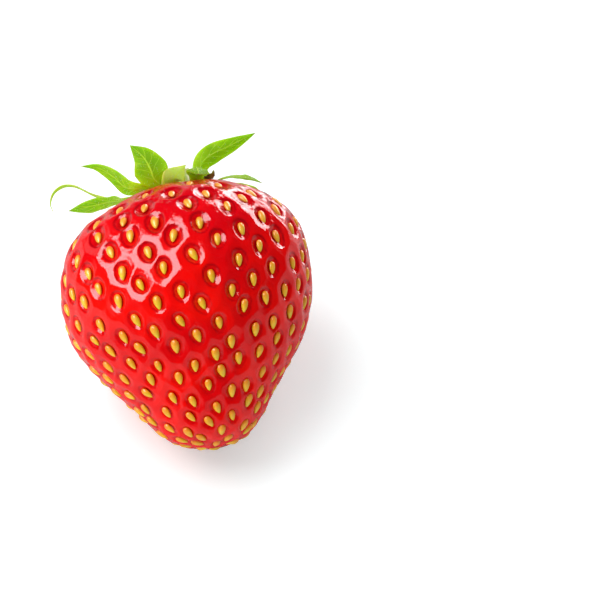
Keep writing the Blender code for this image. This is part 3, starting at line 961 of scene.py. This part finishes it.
@dataclass
class Sepal:
    """One sepal: a thin leaf with a sunken midrib, wavy margins and a drawn-out point.

    The midrib's points and the width are in mm in the fruit's frame, the rolls about the midrib in degrees.
    The foot's share is its width against the full one. The blade draws in from taper_from, a share of its
    length, along a curve of the power taper_power. Its margins stand up by cup and wave by waves, as shares
    of its half width: one slow wave against the other margin's, and one quick one with it. pale is how much
    its green gives way to the washed-out one.
    """

    name: str
    midrib: tuple[tuple[float, float, float], ...]
    width: float
    foot_share: float
    roll_foot: float
    roll_tip: float
    cup: float
    taper_from: float = 0.35
    taper_power: float = 1.7
    waves: float = 0.06
    pale: float = 0.03
    cup_power: float = 1.6
    wave_power: float = 3.0
    wave_start: float = 0.3
    wave_rates: tuple[float, float] = (17.0, 31.0)
    wave_share: float = 0.6
    foot_length: float = 0.42
    least_width: float = 0.03
    thickness: float = 0.30 * MM
    margin_thinning: float = 0.72
    tip_thinning: float = 0.55
    groove: float = 0.22
    groove_width: float = 0.16 * MM
    length_cells: int = 72
    width_cells: int = 18

    def outline(self, along: np.ndarray) -> np.ndarray:
        """How wide the blade is.

        Args:
            along: Shares of the sepal's length.

        Returns:
            Its width there, as a share of the full width.
        """
        foot = self.foot_share + (1.0 - self.foot_share) * smoothstep(along / self.foot_length)
        drawn = np.clip((along - self.taper_from) / (1.0 - self.taper_from), 0.0, 1.0)
        return foot * np.maximum(1.0 - drawn ** self.taper_power, self.least_width)

    def axes(self, midrib: np.ndarray, along: np.ndarray) -> tuple[np.ndarray, np.ndarray]:
        """Which way the blade faces, rolled about its midrib as grown.

        Args:
            midrib: The midrib's points.
            along: Their shares of the length.

        Returns:
            Unit vectors to the side and out of the face, one of each for every point.
        """
        tangent = unit(np.gradient(midrib, axis=0))
        sideways = np.cross((0.0, 0.0, 1.0), unit(midrib[0] * (1, 1, 0)))
        side = unit(sideways - (tangent @ sideways)[:, None] * tangent)
        face = np.cross(tangent, side)
        roll = np.radians(self.roll_foot + (self.roll_tip - self.roll_foot) * along)[:, None]
        return side * np.cos(roll) + face * np.sin(roll), face * np.cos(roll) - side * np.sin(roll)

    def section(self, along: np.ndarray, across: np.ndarray, upper: np.ndarray) -> tuple[np.ndarray, ...]:
        """How far the skin lies to the side of the midrib and above it.

        Args:
            along: Shares of the length, as a column.
            across: Places from margin to margin, -1 to 1, as a row.
            upper: 1 on the face and -1 underneath, for each place across.

        Returns:
            The distances to the side and above, for each place along and across.
        """
        half, off = 0.5 * self.width * MM * self.outline(along), np.abs(across)
        wide = half * across
        slow, quick = self.wave_rates
        wave = np.sin(along * slow + self.width) * np.sign(across) + self.wave_share * np.sin(along * quick)
        bend = self.cup * half * off ** self.cup_power
        bend = bend + self.waves * half * wave * off ** self.wave_power * smoothstep(along / self.wave_start)
        thick = 0.5 * self.thickness * (1.0 - self.margin_thinning * off ** 2)
        thick = thick * (1.0 - self.tip_thinning * along)
        sunk = self.groove * self.thickness * np.exp(-((wide / self.groove_width) ** 2)) * (1.0 - along)
        return wide, bend + thick * upper - sunk

    def build(self, shape: FruitShape, finish: bpy.types.Material) -> bpy.types.Object:
        """Makes the sepal as one closed thin skin.

        Args:
            shape: The fruit that it grows on.
            finish: Its material.

        Returns:
            The finished piece.
        """
        midrib = curve_through(np.array(self.midrib) * MM, self.length_cells + 1)
        along, over = np.linspace(0.0, 1.0, len(midrib)), np.linspace(-1, 1, self.width_cells + 1)
        across, upper = np.concatenate([over, over[::-1]]), np.repeat((1.0, -1.0), len(over))
        side, face = self.axes(midrib, along)
        wide, lift = self.section(along[:, None], across, upper)
        rings = midrib[:, None] + side[:, None] * wide[..., None] + face[:, None] * lift[..., None]
        mesh = closed_skin(self.name, shape, rings, (rings[0].mean(axis=0), rings[-1].mean(axis=0)))
        count, around = rings.shape[:2]
        for name, values, ends in (
            ("along", np.repeat(along, around), (0.0, 1.0)),
            ("across", np.tile(across, count), (0.0, 0.0)),
            ("side", np.tile(0.5 + 0.5 * upper, count), (0.5, 0.5)),
            ("pale", np.full(count * around, self.pale), (self.pale, self.pale)),
        ):
            write_attribute(mesh, name, np.concatenate([values, ends]))
        return new_piece(self.name + "_leaf", mesh, finish)


SEPALS = (
    Sepal("sepal_left_low", ((-4.4, 0.5, 37.4), (-7.0, 1.0, 37.0), (-10.0, 0.9, 37.0), (-12.6, 1.4, 36.9),
                             (-16.5, 1.8, 36.6)), 4.0, 0.4, 20, -100, 0.08),
    Sepal("sepal_left_curled", ((-3.8, 2.6, 37.5), (-6.4, 4.0, 38.2), (-9.5, 4.4, 38.2), (-12.2, 4.6, 39.1),
                                (-15.4, 5.3, 41.2), (-17.1, 5.7, 41.5), (-18.5, 6.0, 40.7),
                                (-19.1, 6.2, 39.2), (-18.8, 6.2, 38.0)),
          1.2, 0.9, 10, 20, 0.15, pale=0.7),
    Sepal("sepal_left_arching", ((-4.2, -1.7, 37.5), (-6.2, -2.0, 37.8), (-8.1, -0.5, 38.6),
                                 (-9.8, 0.4, 40.7), (-11.9, 1.1, 42.4), (-14.2, 1.6, 43.0)),
          2.4, 0.6, 15, 50, 0.10),
    Sepal("sepal_upright_left", ((-3.2, -3.3, 37.5), (-4.2, -4.4, 38.3), (-4.5, -5.0, 39.4),
                                 (-5.3, -5.4, 41.1), (-7.0, -5.6, 43.0)), 5.2, 0.36, 35, 42, 0.08, 0.28, 1.5),
    Sepal("sepal_front", ((-1.5, -4.8, 37.3), (-1.4, -5.5, 37.6), (-0.7, -5.9, 38.3), (0.4, -6.2, 39.2)),
          5.2, 0.72, 24, 0, 0.04, 0.0, 0.95, pale=0.9),
    Sepal("sepal_folded", ((1.6, -4.6, 37.5), (1.7, -5.7, 38.2), (1.8, -6.9, 38.3), (1.9, -8.0, 37.7),
                           (1.9, -9.0, 36.7)), 2.9, 0.6, 0, 0, -0.20, 0.6, 3.0),
    Sepal("sepal_upright_right", ((3.1, -3.3, 37.6), (2.4, -4.0, 38.9), (2.9, -4.5, 40.0), (4.5, -4.7, 41.0),
                                  (7.0, -4.8, 41.9), (10.7, -4.6, 43.4)),
          2.9, 0.64, -45, -60, 0.12, pale=0.0),
    Sepal("sepal_right_flat", ((4.2, -1.7, 37.5), (5.6, -3.1, 37.75), (7.7, -4.3, 37.35), (9.2, -4.7, 36.8),
                               (10.7, -4.7, 36.0)), 2.4, 0.5, 12, 42, 0.0),
    Sepal("sepal_right_low", ((4.4, 1.1, 37.6), (6.8, 2.2, 37.9), (9.6, 3.4, 36.9), (12.4, 4.6, 34.9),
                              (14.4, 5.8, 32.8)), 4.2, 0.45, 0, 10, 0.20),
    Sepal("sepal_under_right", ((2.2, 3.9, 37.6), (3.2, 6.0, 38.6), (4.4, 9.4, 38.8), (5.4, 12.6, 37.8)),
          4.6, 0.45, 0, -10, 0.20),
    Sepal("sepal_under_left", ((-1.2, 4.4, 37.6), (-2.0, 6.6, 38.6), (-3.6, 9.8, 39.4), (-5.0, 12.6, 40.8)),
          4.0, 0.5, 0, 15, 0.20),
)

BRACT = Sepal("bract_withered", ((3.2, -4.6, 37.4), (3.6, -5.2, 37.5), (4.0, -5.8, 37.7), (4.2, -6.2, 38.1)),
              1.7, 0.8, 0, 0, 0.0, 0.2, 1.2, waves=0.16, length_cells=28)


@dataclass
class Hub:
    """The green disc in the fruit's hollow that the sepals and the stalk grow from."""

    radius: float = 3.9 * MM
    underside: float = 36.6 * MM
    top: float = 37.6 * MM
    edge: float = 0.3 * MM
    dish: float = 0.1 * MM
    around: int = 96
    along: int = 30
    ribs: int = 11
    rib_height: float = 0.07 * MM

    def build(self, shape: FruitShape, finish: bpy.types.Material) -> bpy.types.Object:
        """Turns the disc's outline round the axis, with a soft rib for every sepal.

        Args:
            shape: The fruit that it sits in.
            finish: Its material.

        Returns:
            The finished piece.
        """
        low, high = self.underside, self.top
        outline = curve_through(
            ((low, 0.0), (low, 0.5 * self.radius), (low + self.edge, 0.92 * self.radius),
             (high - self.edge, self.radius), (high, 0.8 * self.radius),
             (high - self.dish, 0.35 * self.radius), (high - self.dish, 0.0)),
            self.along,
        )
        turn = np.linspace(0.0, 2 * math.pi, self.around, endpoint=False)
        height, radius = outline[1:-1, :1], outline[1:-1, 1:]
        share = smoothstep(radius / self.radius * 1.6 - 0.4)
        raised = height + self.rib_height * share * np.cos(self.ribs * turn)[None, :] * np.sign(height - low)
        rings = np.stack([radius * np.cos(turn), radius * np.sin(turn), raised], axis=-1)
        poles = np.array([(0.0, 0.0, outline[0, 0]), (0.0, 0.0, outline[-1, 0])])
        return new_piece("calyx_hub_disc", closed_skin("calyx_hub_disc", shape, rings, poles), finish)


@dataclass(frozen=True)
class PlantFinish:
    """A dull plant surface, mottled with a second colour."""

    name: str
    colour: Colour
    mottle: Colour
    patches: float
    roughness: float = 0.5
    mottle_range: Range = (0.35, 0.68)

    def make(self, ripple: Group) -> bpy.types.Material:
        """Builds the material.

        Args:
            ripple: The group that makes fine uneven skin.

        Returns:
            The material.
        """
        plant = Surface(self.name)
        mottled = plant.ramp(plant.cloud(self.patches, 4.0), *self.mottle_range)
        plant.set({"Base Color": plant.mix(mottled, self.colour, self.mottle)})
        plant.roughen(0.6 * MM, self.roughness - 0.08, self.roughness + 0.12)
        fine = ripple.place_in(plant, {"Size": 0.3 * MM, "Coarse": 0.6})
        plant.emboss(fine.outputs["Height"], 0.05 * MM)
        return plant.material


HUB_GREEN = PlantFinish("hub_green", (0.30, 0.46, 0.06), (0.46, 0.56, 0.14), 1.2 * MM)
STALK_GREEN = PlantFinish("stalk_green", (0.34, 0.46, 0.09), (0.40, 0.34, 0.12), 1.0 * MM)
STAMEN_BROWN = PlantFinish("dry_brown", (0.24, 0.12, 0.03), (0.12, 0.06, 0.015), 0.7 * MM, 0.75)
BRACT_BROWN = PlantFinish("bract_brown", (0.28, 0.34, 0.04), (0.15, 0.10, 0.02), 0.8 * MM, 0.7)
HAIR_PALE = PlantFinish("pale_hair", (0.62, 0.68, 0.42), (0.75, 0.78, 0.60), 0.5 * MM)


@dataclass
class Stalk:
    """The short stub of the fruit's stalk, softly ridged, with a ragged, hollow broken end.

    A tear is (points round the end, phase, share of the full raggedness).
    """

    points_mm: tuple[tuple[float, float, float], ...] = (
        (0.0, 0.0, 37.9), (0.1, 0.3, 38.8), (0.3, 0.9, 39.7), (0.5, 1.6, 40.4))
    radius: float = 1.05 * MM
    end_girth: float = 0.86
    ridges: int = 5
    ridge: float = 0.06
    raggedness: float = 0.16 * MM
    tears: tuple[tuple[int, float, float], ...] = ((7, 1.0, 1.0), (13, 0.0, 0.6))
    hollow_share: float = 0.55
    hollow_edge: float = 0.30 * MM
    hollow_depth: float = 0.38 * MM
    around: int = 40
    along: int = 26

    def build(self, shape: FruitShape, finish: bpy.types.Material) -> bpy.types.Object:
        """Sweeps the ridged section along the stub and closes its ends.

        Args:
            shape: The fruit that it grew on.
            finish: Its material.

        Returns:
            The finished piece.
        """
        path = curve_through(np.array(self.points_mm) * MM, self.along)
        ahead = unit(np.gradient(path, axis=0))
        side = unit(np.cross(ahead, (1.0, 0.0, 0.0)))
        other = np.cross(ahead, side)
        turn = np.linspace(0.0, 2 * math.pi, self.around, endpoint=False)
        share = np.linspace(0.0, 1.0, self.along)
        girth = self.radius * (1.0 + (self.end_girth - 1.0) * share)[:, None]
        girth = girth * (1.0 + self.ridge * np.cos(self.ridges * turn)[None, :])
        rings = path[:, None] + girth[..., None] * (
            side[:, None] * np.cos(turn)[None, :, None] + other[:, None] * np.sin(turn)[None, :, None])
        torn = sum(part * np.sin(count * turn + phase) for count, phase, part in self.tears)
        rings[-1] += ahead[-1] * (self.raggedness * torn)[:, None]
        inner = path[-1] + self.hollow_share * (rings[-1] - path[-1]) - ahead[-1] * self.hollow_edge
        base = path[0] + 0.5 * (rings[0] - path[0])
        rings = np.concatenate([base[None], rings, inner[None]])
        ends = (path[0], path[-1] - ahead[-1] * self.hollow_depth)
        return new_piece("stalk_stub", closed_skin("stalk_stub", shape, rings, ends), finish)


@dataclass
class Stamens:
    """The withered filaments round the calyx, each a crooked thread with a shrivelled end.

    reach is each thread's course along the profile, from the crest (0) to the middle of the hollow (1), and
    girth its thickness there, as shares of the radius. Its anther swells round head_at.
    """

    turns_deg: tuple[int, ...] = (3, 32, 46, 78, 92, 120, 134, 159, 189, 205, 217, 350)
    reach: tuple[float, ...] = (0.42, 0.24, 0.10, -0.04)
    girth: tuple[float, ...] = (1.0, 0.75, 0.7, 1.35)
    head: float = 0.7
    head_at: float = 0.93
    head_spread: float = 0.06
    clearance: float = 0.42 * MM
    radius: float = 0.13 * MM
    crook: float = 0.35 * MM
    crook_rate: float = 900.0
    steps: int = 14
    sides: int = 7

    def thread_group(self) -> Group:
        """The Geometry Nodes that turn lines into closed tapering threads.

        Returns:
            The group, which reads the points' girth.
        """
        group = Group(
            "withered_threads",
            "GeometryNodeTree",
            {"Lines": Kind.SHAPE, "Radius": Kind.NUMBER, "Sides": Kind.WHOLE, "Crook": Kind.NUMBER,
             "Finish": Kind.FINISH},
            {"Threads": Kind.SHAPE},
        )
        given = group.given
        bend = group.add("ShaderNodeTexNoise", {"Scale": self.crook_rate, "Detail": 1.0}).outputs["Color"]
        centred = group.add("ShaderNodeVectorMath", {0: bend, 1: (0.5, 0.5, 0.5)}, operation="SUBTRACT")
        shift = group.scaled(centred.outputs[0], given["Crook"])
        crooked = group.add("GeometryNodeSetPosition", {"Geometry": given["Lines"], "Offset": shift})
        lines = group.add("GeometryNodeMeshToCurve", {"Mesh": crooked.outputs[0]})
        ring = group.add("GeometryNodeCurvePrimitiveCircle", {"Resolution": given["Sides"], "Radius": 1.0})
        tube = group.add("GeometryNodeCurveToMesh", {
            "Curve": lines.outputs[0], "Profile Curve": ring.outputs[0], "Fill Caps": True,
            "Scale": group.math("MULTIPLY", group.stored("girth"), given["Radius"])})
        group.dress(tube.outputs[0], "Threads")
        return group

    def build(self, shape: FruitShape, finish: bpy.types.Material) -> bpy.types.Object:
        """Lays every filament over the edge of the hollow.

        Args:
            shape: The fruit that they lie on.
            finish: Their material.

        Returns:
            The finished piece, all filaments in one mesh.
        """
        course = np.interp(self.reach, (0.0, 1.0), (shape.crest(), 1.0))
        shares, knots = np.linspace(0.0, 1.0, self.steps), np.linspace(0.0, 1.0, len(course))
        swollen = self.head * np.exp(-(((shares - self.head_at) / self.head_spread) ** 2))
        girth = np.interp(shares, knots, self.girth) + swollen
        points, edges = [], []
        for degrees in self.turns_deg:
            place, _, _, out = shape.frames(course, np.full(len(course), math.radians(degrees)))
            start = len(points) * self.steps
            edges += [(start + k, start + k + 1) for k in range(self.steps - 1)]
            points.append(shape.world(curve_through(place + out * self.clearance, self.steps)))
        mesh = bpy.data.meshes.new("stamens")
        mesh.from_pydata(np.vstack(points).tolist(), edges, [])
        write_attribute(mesh, "girth", np.tile(girth, len(points)))
        return self.thread_group().run_on(new_piece("stamens", mesh), {
            "Radius": self.radius, "Sides": self.sides, "Crook": self.crook, "Finish": finish})


@dataclass
class Hairs:
    """Fine pale hairs on the sepals and the stalk, leaning up to `lean` radians each way."""

    per_square_mm: float = 3.2
    length: float = 0.55 * MM
    radius: float = 0.016 * MM
    shortest: float = 0.45
    lean: float = 0.7
    spin: float = 6.28

    def hair_group(self) -> Group:
        """The Geometry Nodes that scatter leaning hairs over a surface.

        Returns:
            The group.
        """
        group = Group(
            "leaf_hairs",
            "GeometryNodeTree",
            {"Surface": Kind.SHAPE, "Density": Kind.NUMBER, "Length": Kind.NUMBER, "Radius": Kind.NUMBER,
             "Seed": Kind.WHOLE, "Finish": Kind.FINISH},
            {"Hairs": Kind.SHAPE},
        )
        given = group.given
        spread = group.add("GeometryNodeDistributePointsOnFaces", {
            "Mesh": given["Surface"], "Density": given["Density"], "Seed": given["Seed"]})
        cone = group.add("GeometryNodeMeshCone", {
            "Vertices": 3, "Radius Top": 0.0, "Radius Bottom": given["Radius"], "Depth": given["Length"]})
        lean = group.add("FunctionNodeRandomValue", {
            "Seed": given["Seed"], 0: (-self.lean, -self.lean, 0.0), 1: (self.lean, self.lean, self.spin),
        }, data_type="FLOAT_VECTOR")
        tilted = group.add("FunctionNodeRotateRotation", {
            "Rotation": spread.outputs["Rotation"],
            "Rotate By": group.add("FunctionNodeEulerToRotation", {0: lean.outputs[0]}).outputs[0],
        }, rotation_space="LOCAL")
        vary = group.random(group.math("ADD", given["Seed"], 3.0), self.shortest)
        copies = group.add("GeometryNodeInstanceOnPoints", {
            "Points": spread.outputs["Points"], "Instance": cone.outputs[0], "Rotation": tilted.outputs[0],
            "Scale": vary})
        group.dress(copies.outputs[0], "Hairs")
        return group

    def build(self, hosts: list[bpy.types.Object], finish: bpy.types.Material) -> bpy.types.Object:
        """Grows the hairs on copies of the host pieces' surfaces.

        Args:
            hosts: The pieces that carry hairs.
            finish: The hairs' material.

        Returns:
            The finished piece, all hairs in one mesh.
        """
        gathered = bmesh.new()
        for host in hosts:
            gathered.from_mesh(host.data)
        mesh = bpy.data.meshes.new("calyx_hairs")
        gathered.to_mesh(mesh)
        gathered.free()
        return self.hair_group().run_on(new_piece("calyx_hairs", mesh), {
            "Density": self.per_square_mm / MM ** 2, "Length": self.length, "Radius": self.radius,
            "Seed": SEED, "Finish": finish})


# ---------------------------------------------------------------------------------------------- effects


def ripple_group() -> Group:
    """Makes the group for fine uneven skin.

    Returns:
        A group that puts out small bumps of a given size, with some coarser ones mixed in.
    """
    group = Group(
        "uneven_skin", "ShaderNodeTree",
        {"Size": Kind.NUMBER, "Coarse": Kind.NUMBER}, {"Height": Kind.NUMBER})
    coarse_share, coarse_height = 0.22, 4.0
    fine_rate = group.math("DIVIDE", 1.0, group.given["Size"])
    coarse_rate = group.math("MULTIPLY", fine_rate, coarse_share)
    place = group.place()
    fine = group.add("ShaderNodeTexNoise", {"Vector": place, "Scale": fine_rate, "Detail": 2.0})
    coarse = group.add("ShaderNodeTexNoise", {"Vector": place, "Scale": coarse_rate, "Detail": 1.0})
    weight = group.math("MULTIPLY", group.given["Coarse"], coarse_height)
    weighted = group.math("MULTIPLY", coarse.outputs[0], weight)
    group.feed(group.result["Height"], group.math("ADD", fine.outputs[0], weighted))
    return group


def vein_group() -> Group:
    """Makes the group that draws a leaf's veins.

    Returns:
        A group that puts out 1 on the midrib and on pairs of side veins that sweep towards the point.
    """
    group = Group(
        "leaf_veins", "ShaderNodeTree",
        {"Along": Kind.NUMBER, "Across": Kind.NUMBER, "Pairs": Kind.NUMBER, "Slant": Kind.NUMBER},
        {"Veins": Kind.NUMBER},
    )
    midrib_edge, vein_edge, vein_fade = (0.075, 0.02), (0.075, 0.015), (1.0, 0.4, 0.0, 0.8)
    sweep_power, wobble_size, wobble_height = 0.8, MM / 0.7, 0.5
    given = group.given
    off = group.math("ABSOLUTE", given["Across"])
    midrib = group.ramp(off, *midrib_edge)
    straight = group.math("MULTIPLY", given["Along"], given["Pairs"])
    slanted = group.math("MULTIPLY", group.math("POWER", off, sweep_power), given["Slant"])
    wobble = group.math("MULTIPLY", group.cloud(wobble_size, 1.0), wobble_height)
    swept = group.math("ADD", group.math("SUBTRACT", straight, slanted), wobble)
    apart = group.math("ABSOLUTE", group.math("SUBTRACT", group.math("FRACT", swept), 0.5))
    sides = group.math("MULTIPLY", group.ramp(apart, *vein_edge), group.ramp(off, *vein_fade))
    group.feed(group.result["Veins"], group.math("MAXIMUM", midrib, sides))
    return group


# ---------------------------------------------------------------------------------------------- studio


@dataclass(frozen=True)
class Lamp:
    """One soft square light, placed by its direction from the fruit as the camera sees it.

    seen says whether it is mirrored in glossy skin, and lights whether it lights matt surfaces.
    """

    name: str
    right: float
    up: float
    back: float
    distance: float
    half_angle_deg: float
    radiance: float
    seen: bool = True
    lights: bool = True
    tint: Colour = (1.0, 1.0, 1.0)


@dataclass(frozen=True)
class Studio:
    """The camera, the pale floor and the soft lights.

    floor_lift makes the floor as bright as the white round it, and floor_dimming darkens it where glossy
    skin mirrors it.
    """

    target: tuple[float, float, float] = (0.0, 1.5 * MM, 17.5 * MM)
    azimuth: float = math.radians(-7.6)
    elevation: float = math.radians(50.0)
    distance: float = 0.28
    lens_mm: float = 120.0
    sensor_mm: float = 36.0
    aim_right: float = 16.1 * MM
    aim_up: float = -2.85 * MM
    daylight: float = 0.42
    mirrored_light: float = 0.015
    floor_size: float = 6.0
    floor_colours: tuple[Colour, Colour] = ((0.90, 0.90, 0.90), (0.88, 0.88, 0.885))
    floor_roughness: float = 0.75
    floor_gloss: float = 0.2
    floor_tint: Colour = (0.72, 0.98, 1.0)
    floor_lift: float = 0.34
    floor_dimming: float = 0.5
    lamps: tuple[Lamp, ...] = field(default_factory=lambda: (
        Lamp("softbox_seen", -0.57, 0.47, 0.67, 0.6, 20.5, 9.0, lights=False, tint=(1.0, 0.96, 1.0)),
        Lamp("key_soft", -0.48, 0.60, 0.60, 0.9, 24.0, 3.3, seen=False),
        Lamp("card_seen", 0.52, 0.70, -0.60, 0.15, 23.0, 8.0, lights=False),
        Lamp("back_soft", 0.30, 0.85, -0.27, 0.9, 17.0, 3.4, seen=False),
        Lamp("streaks_seen", -0.77, 0.62, -0.04, 0.6, 12.0, 0.7, lights=False),
        Lamp("left_soft", -0.76, -0.42, 0.45, 0.9, 22.0, 2.6, seen=False),
        Lamp("left_seen", -0.76, -0.42, 0.45, 0.9, 26.0, 0.55, lights=False),
    ))

    def directions(self) -> tuple[Vector, Vector, Vector]:
        """Which way the camera faces.

        Returns:
            Unit vectors to its right, up, and back towards it, in the world.
        """
        a, e = self.azimuth, self.elevation
        forward = Vector((-math.sin(a) * math.cos(e), math.cos(a) * math.cos(e), -math.sin(e)))
        right = Vector((math.cos(a), math.sin(a), 0.0))
        return right, right.cross(forward), -forward

    def add_camera(self) -> None:
        """Makes the scene's camera."""
        right, up, back = self.directions()
        data = bpy.data.cameras.new("camera")
        data.lens, data.sensor_width, data.clip_start = self.lens_mm, self.sensor_mm, 0.01
        camera = bpy.data.objects.new("camera", data)
        bpy.context.scene.collection.objects.link(camera)
        aim = Vector(self.target) + right * self.aim_right + up * self.aim_up
        turn = Matrix((right, up, back)).transposed().to_4x4()
        camera.matrix_world = Matrix.Translation(aim + back * self.distance) @ turn
        bpy.context.scene.camera = camera

    def add_lamps(self) -> None:
        """Makes the soft lights, all facing the fruit."""
        right, up, back = self.directions()
        for lamp in self.lamps:
            way = (right * lamp.right + up * lamp.up + back * lamp.back).normalized()
            side = 2.0 * lamp.distance * math.tan(math.radians(lamp.half_angle_deg))
            data = bpy.data.lights.new(lamp.name, "AREA")
            data.shape, data.size = "SQUARE", side
            data.energy = lamp.radiance * math.pi * side ** 2
            data.color = lamp.tint
            made = bpy.data.objects.new(lamp.name, data)
            bpy.context.scene.collection.objects.link(made)
            made.location = Vector(self.target) + way * lamp.distance
            made.rotation_euler = way.to_track_quat("Z", "Y").to_euler()
            made.visible_camera = False
            made.visible_glossy = lamp.seen
            made.visible_diffuse = lamp.lights
            made.visible_transmission = lamp.lights

    def add_surroundings(self) -> None:
        """White to look at, softly lit, and nearly dark where glossy skin mirrors it."""
        world = bpy.data.worlds.new("studio")
        bpy.context.scene.world = world
        world.use_nodes = True
        wiring = Wiring(world.node_tree)
        background = world.node_tree.nodes["Background"]
        rays = wiring.add("ShaderNodeLightPath").outputs
        lit = wiring.math("MULTIPLY_ADD", rays["Is Diffuse Ray"], self.daylight, self.mirrored_light)
        wiring.feed(background.inputs["Strength"], wiring.math("MAXIMUM", lit, rays["Is Camera Ray"]))
        wiring.feed(background.inputs["Color"], (1.0, 1.0, 1.0))

    def add_floor(self) -> None:
        """A plain pale floor at the height where the fruit rests."""
        plane = bmesh.new()
        bmesh.ops.create_grid(plane, x_segments=1, y_segments=1, size=self.floor_size / 2)
        mesh = bpy.data.meshes.new("floor")
        plane.to_mesh(mesh)
        plane.free()
        floor = Surface("pale_floor")
        rays = floor.add("ShaderNodeLightPath").outputs
        pale = floor.mix(floor.ramp(floor.cloud(40 * MM), *NOISE_RANGE), *self.floor_colours)
        mirrored = floor.math("MULTIPLY", rays["Is Glossy Ray"], self.floor_dimming)
        floor.set({
            "Base Color": floor.mix(mirrored, pale, (0.0, 0.0, 0.0)),
            "Roughness": self.floor_roughness, "Specular IOR Level": self.floor_gloss,
            "Emission Color": self.floor_tint,
            "Emission Strength": floor.math("MULTIPLY", rays["Is Camera Ray"], self.floor_lift),
        })
        new_piece("floor", mesh, floor.material)

    def set_up(self) -> None:
        """Makes everything round the object."""
        self.add_camera()
        self.add_lamps()
        self.add_surroundings()
        self.add_floor()
        bpy.context.scene.view_settings.view_transform = "Standard"


def main() -> None:
    """Loads the frame and builds every piece around it."""
    logging.basicConfig(level=logging.INFO, format="%(message)s")
    for leftover in list(bpy.data.objects):
        bpy.data.objects.remove(leftover)
    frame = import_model()
    Studio().set_up()

    shape = FruitShape()
    sites = AcheneSpiral().sites(shape)
    ripple, veins = ripple_group(), vein_group()

    register(Flesh(shape, sites).build(FleshFinish().make(ripple)), Slot.FLESH, "fruit")
    register(Achenes(shape, sites).build(AcheneFinish().make()), Slot.ACHENE)
    register(Hub().build(shape, HUB_GREEN.make(ripple)), Slot.HUB, "calyx_hub")
    stalk = Stalk().build(shape, STALK_GREEN.make(ripple))
    register(stalk, Slot.STEM, "stem")
    leaf_green = LeafFinish("sepal_leaf").make(veins, ripple)
    leaves = [sepal.build(shape, leaf_green) for sepal in SEPALS]
    for sepal, leaf in zip(SEPALS, leaves):
        register(leaf, Slot.SEPAL, sepal.name)
    register(BRACT.build(shape, BRACT_BROWN.make(ripple)), Slot.STAMEN, BRACT.name)
    stamen_nodes = sorted(name for name in frame["nodes"] if name.startswith("stamen_"))
    register(Stamens().build(shape, STAMEN_BROWN.make(ripple)), Slot.STAMEN, *stamen_nodes)
    register(Hairs().build([*leaves, stalk], HAIR_PALE.make(ripple)), Slot.SEPAL)


if __name__ == "__main__":
    main()
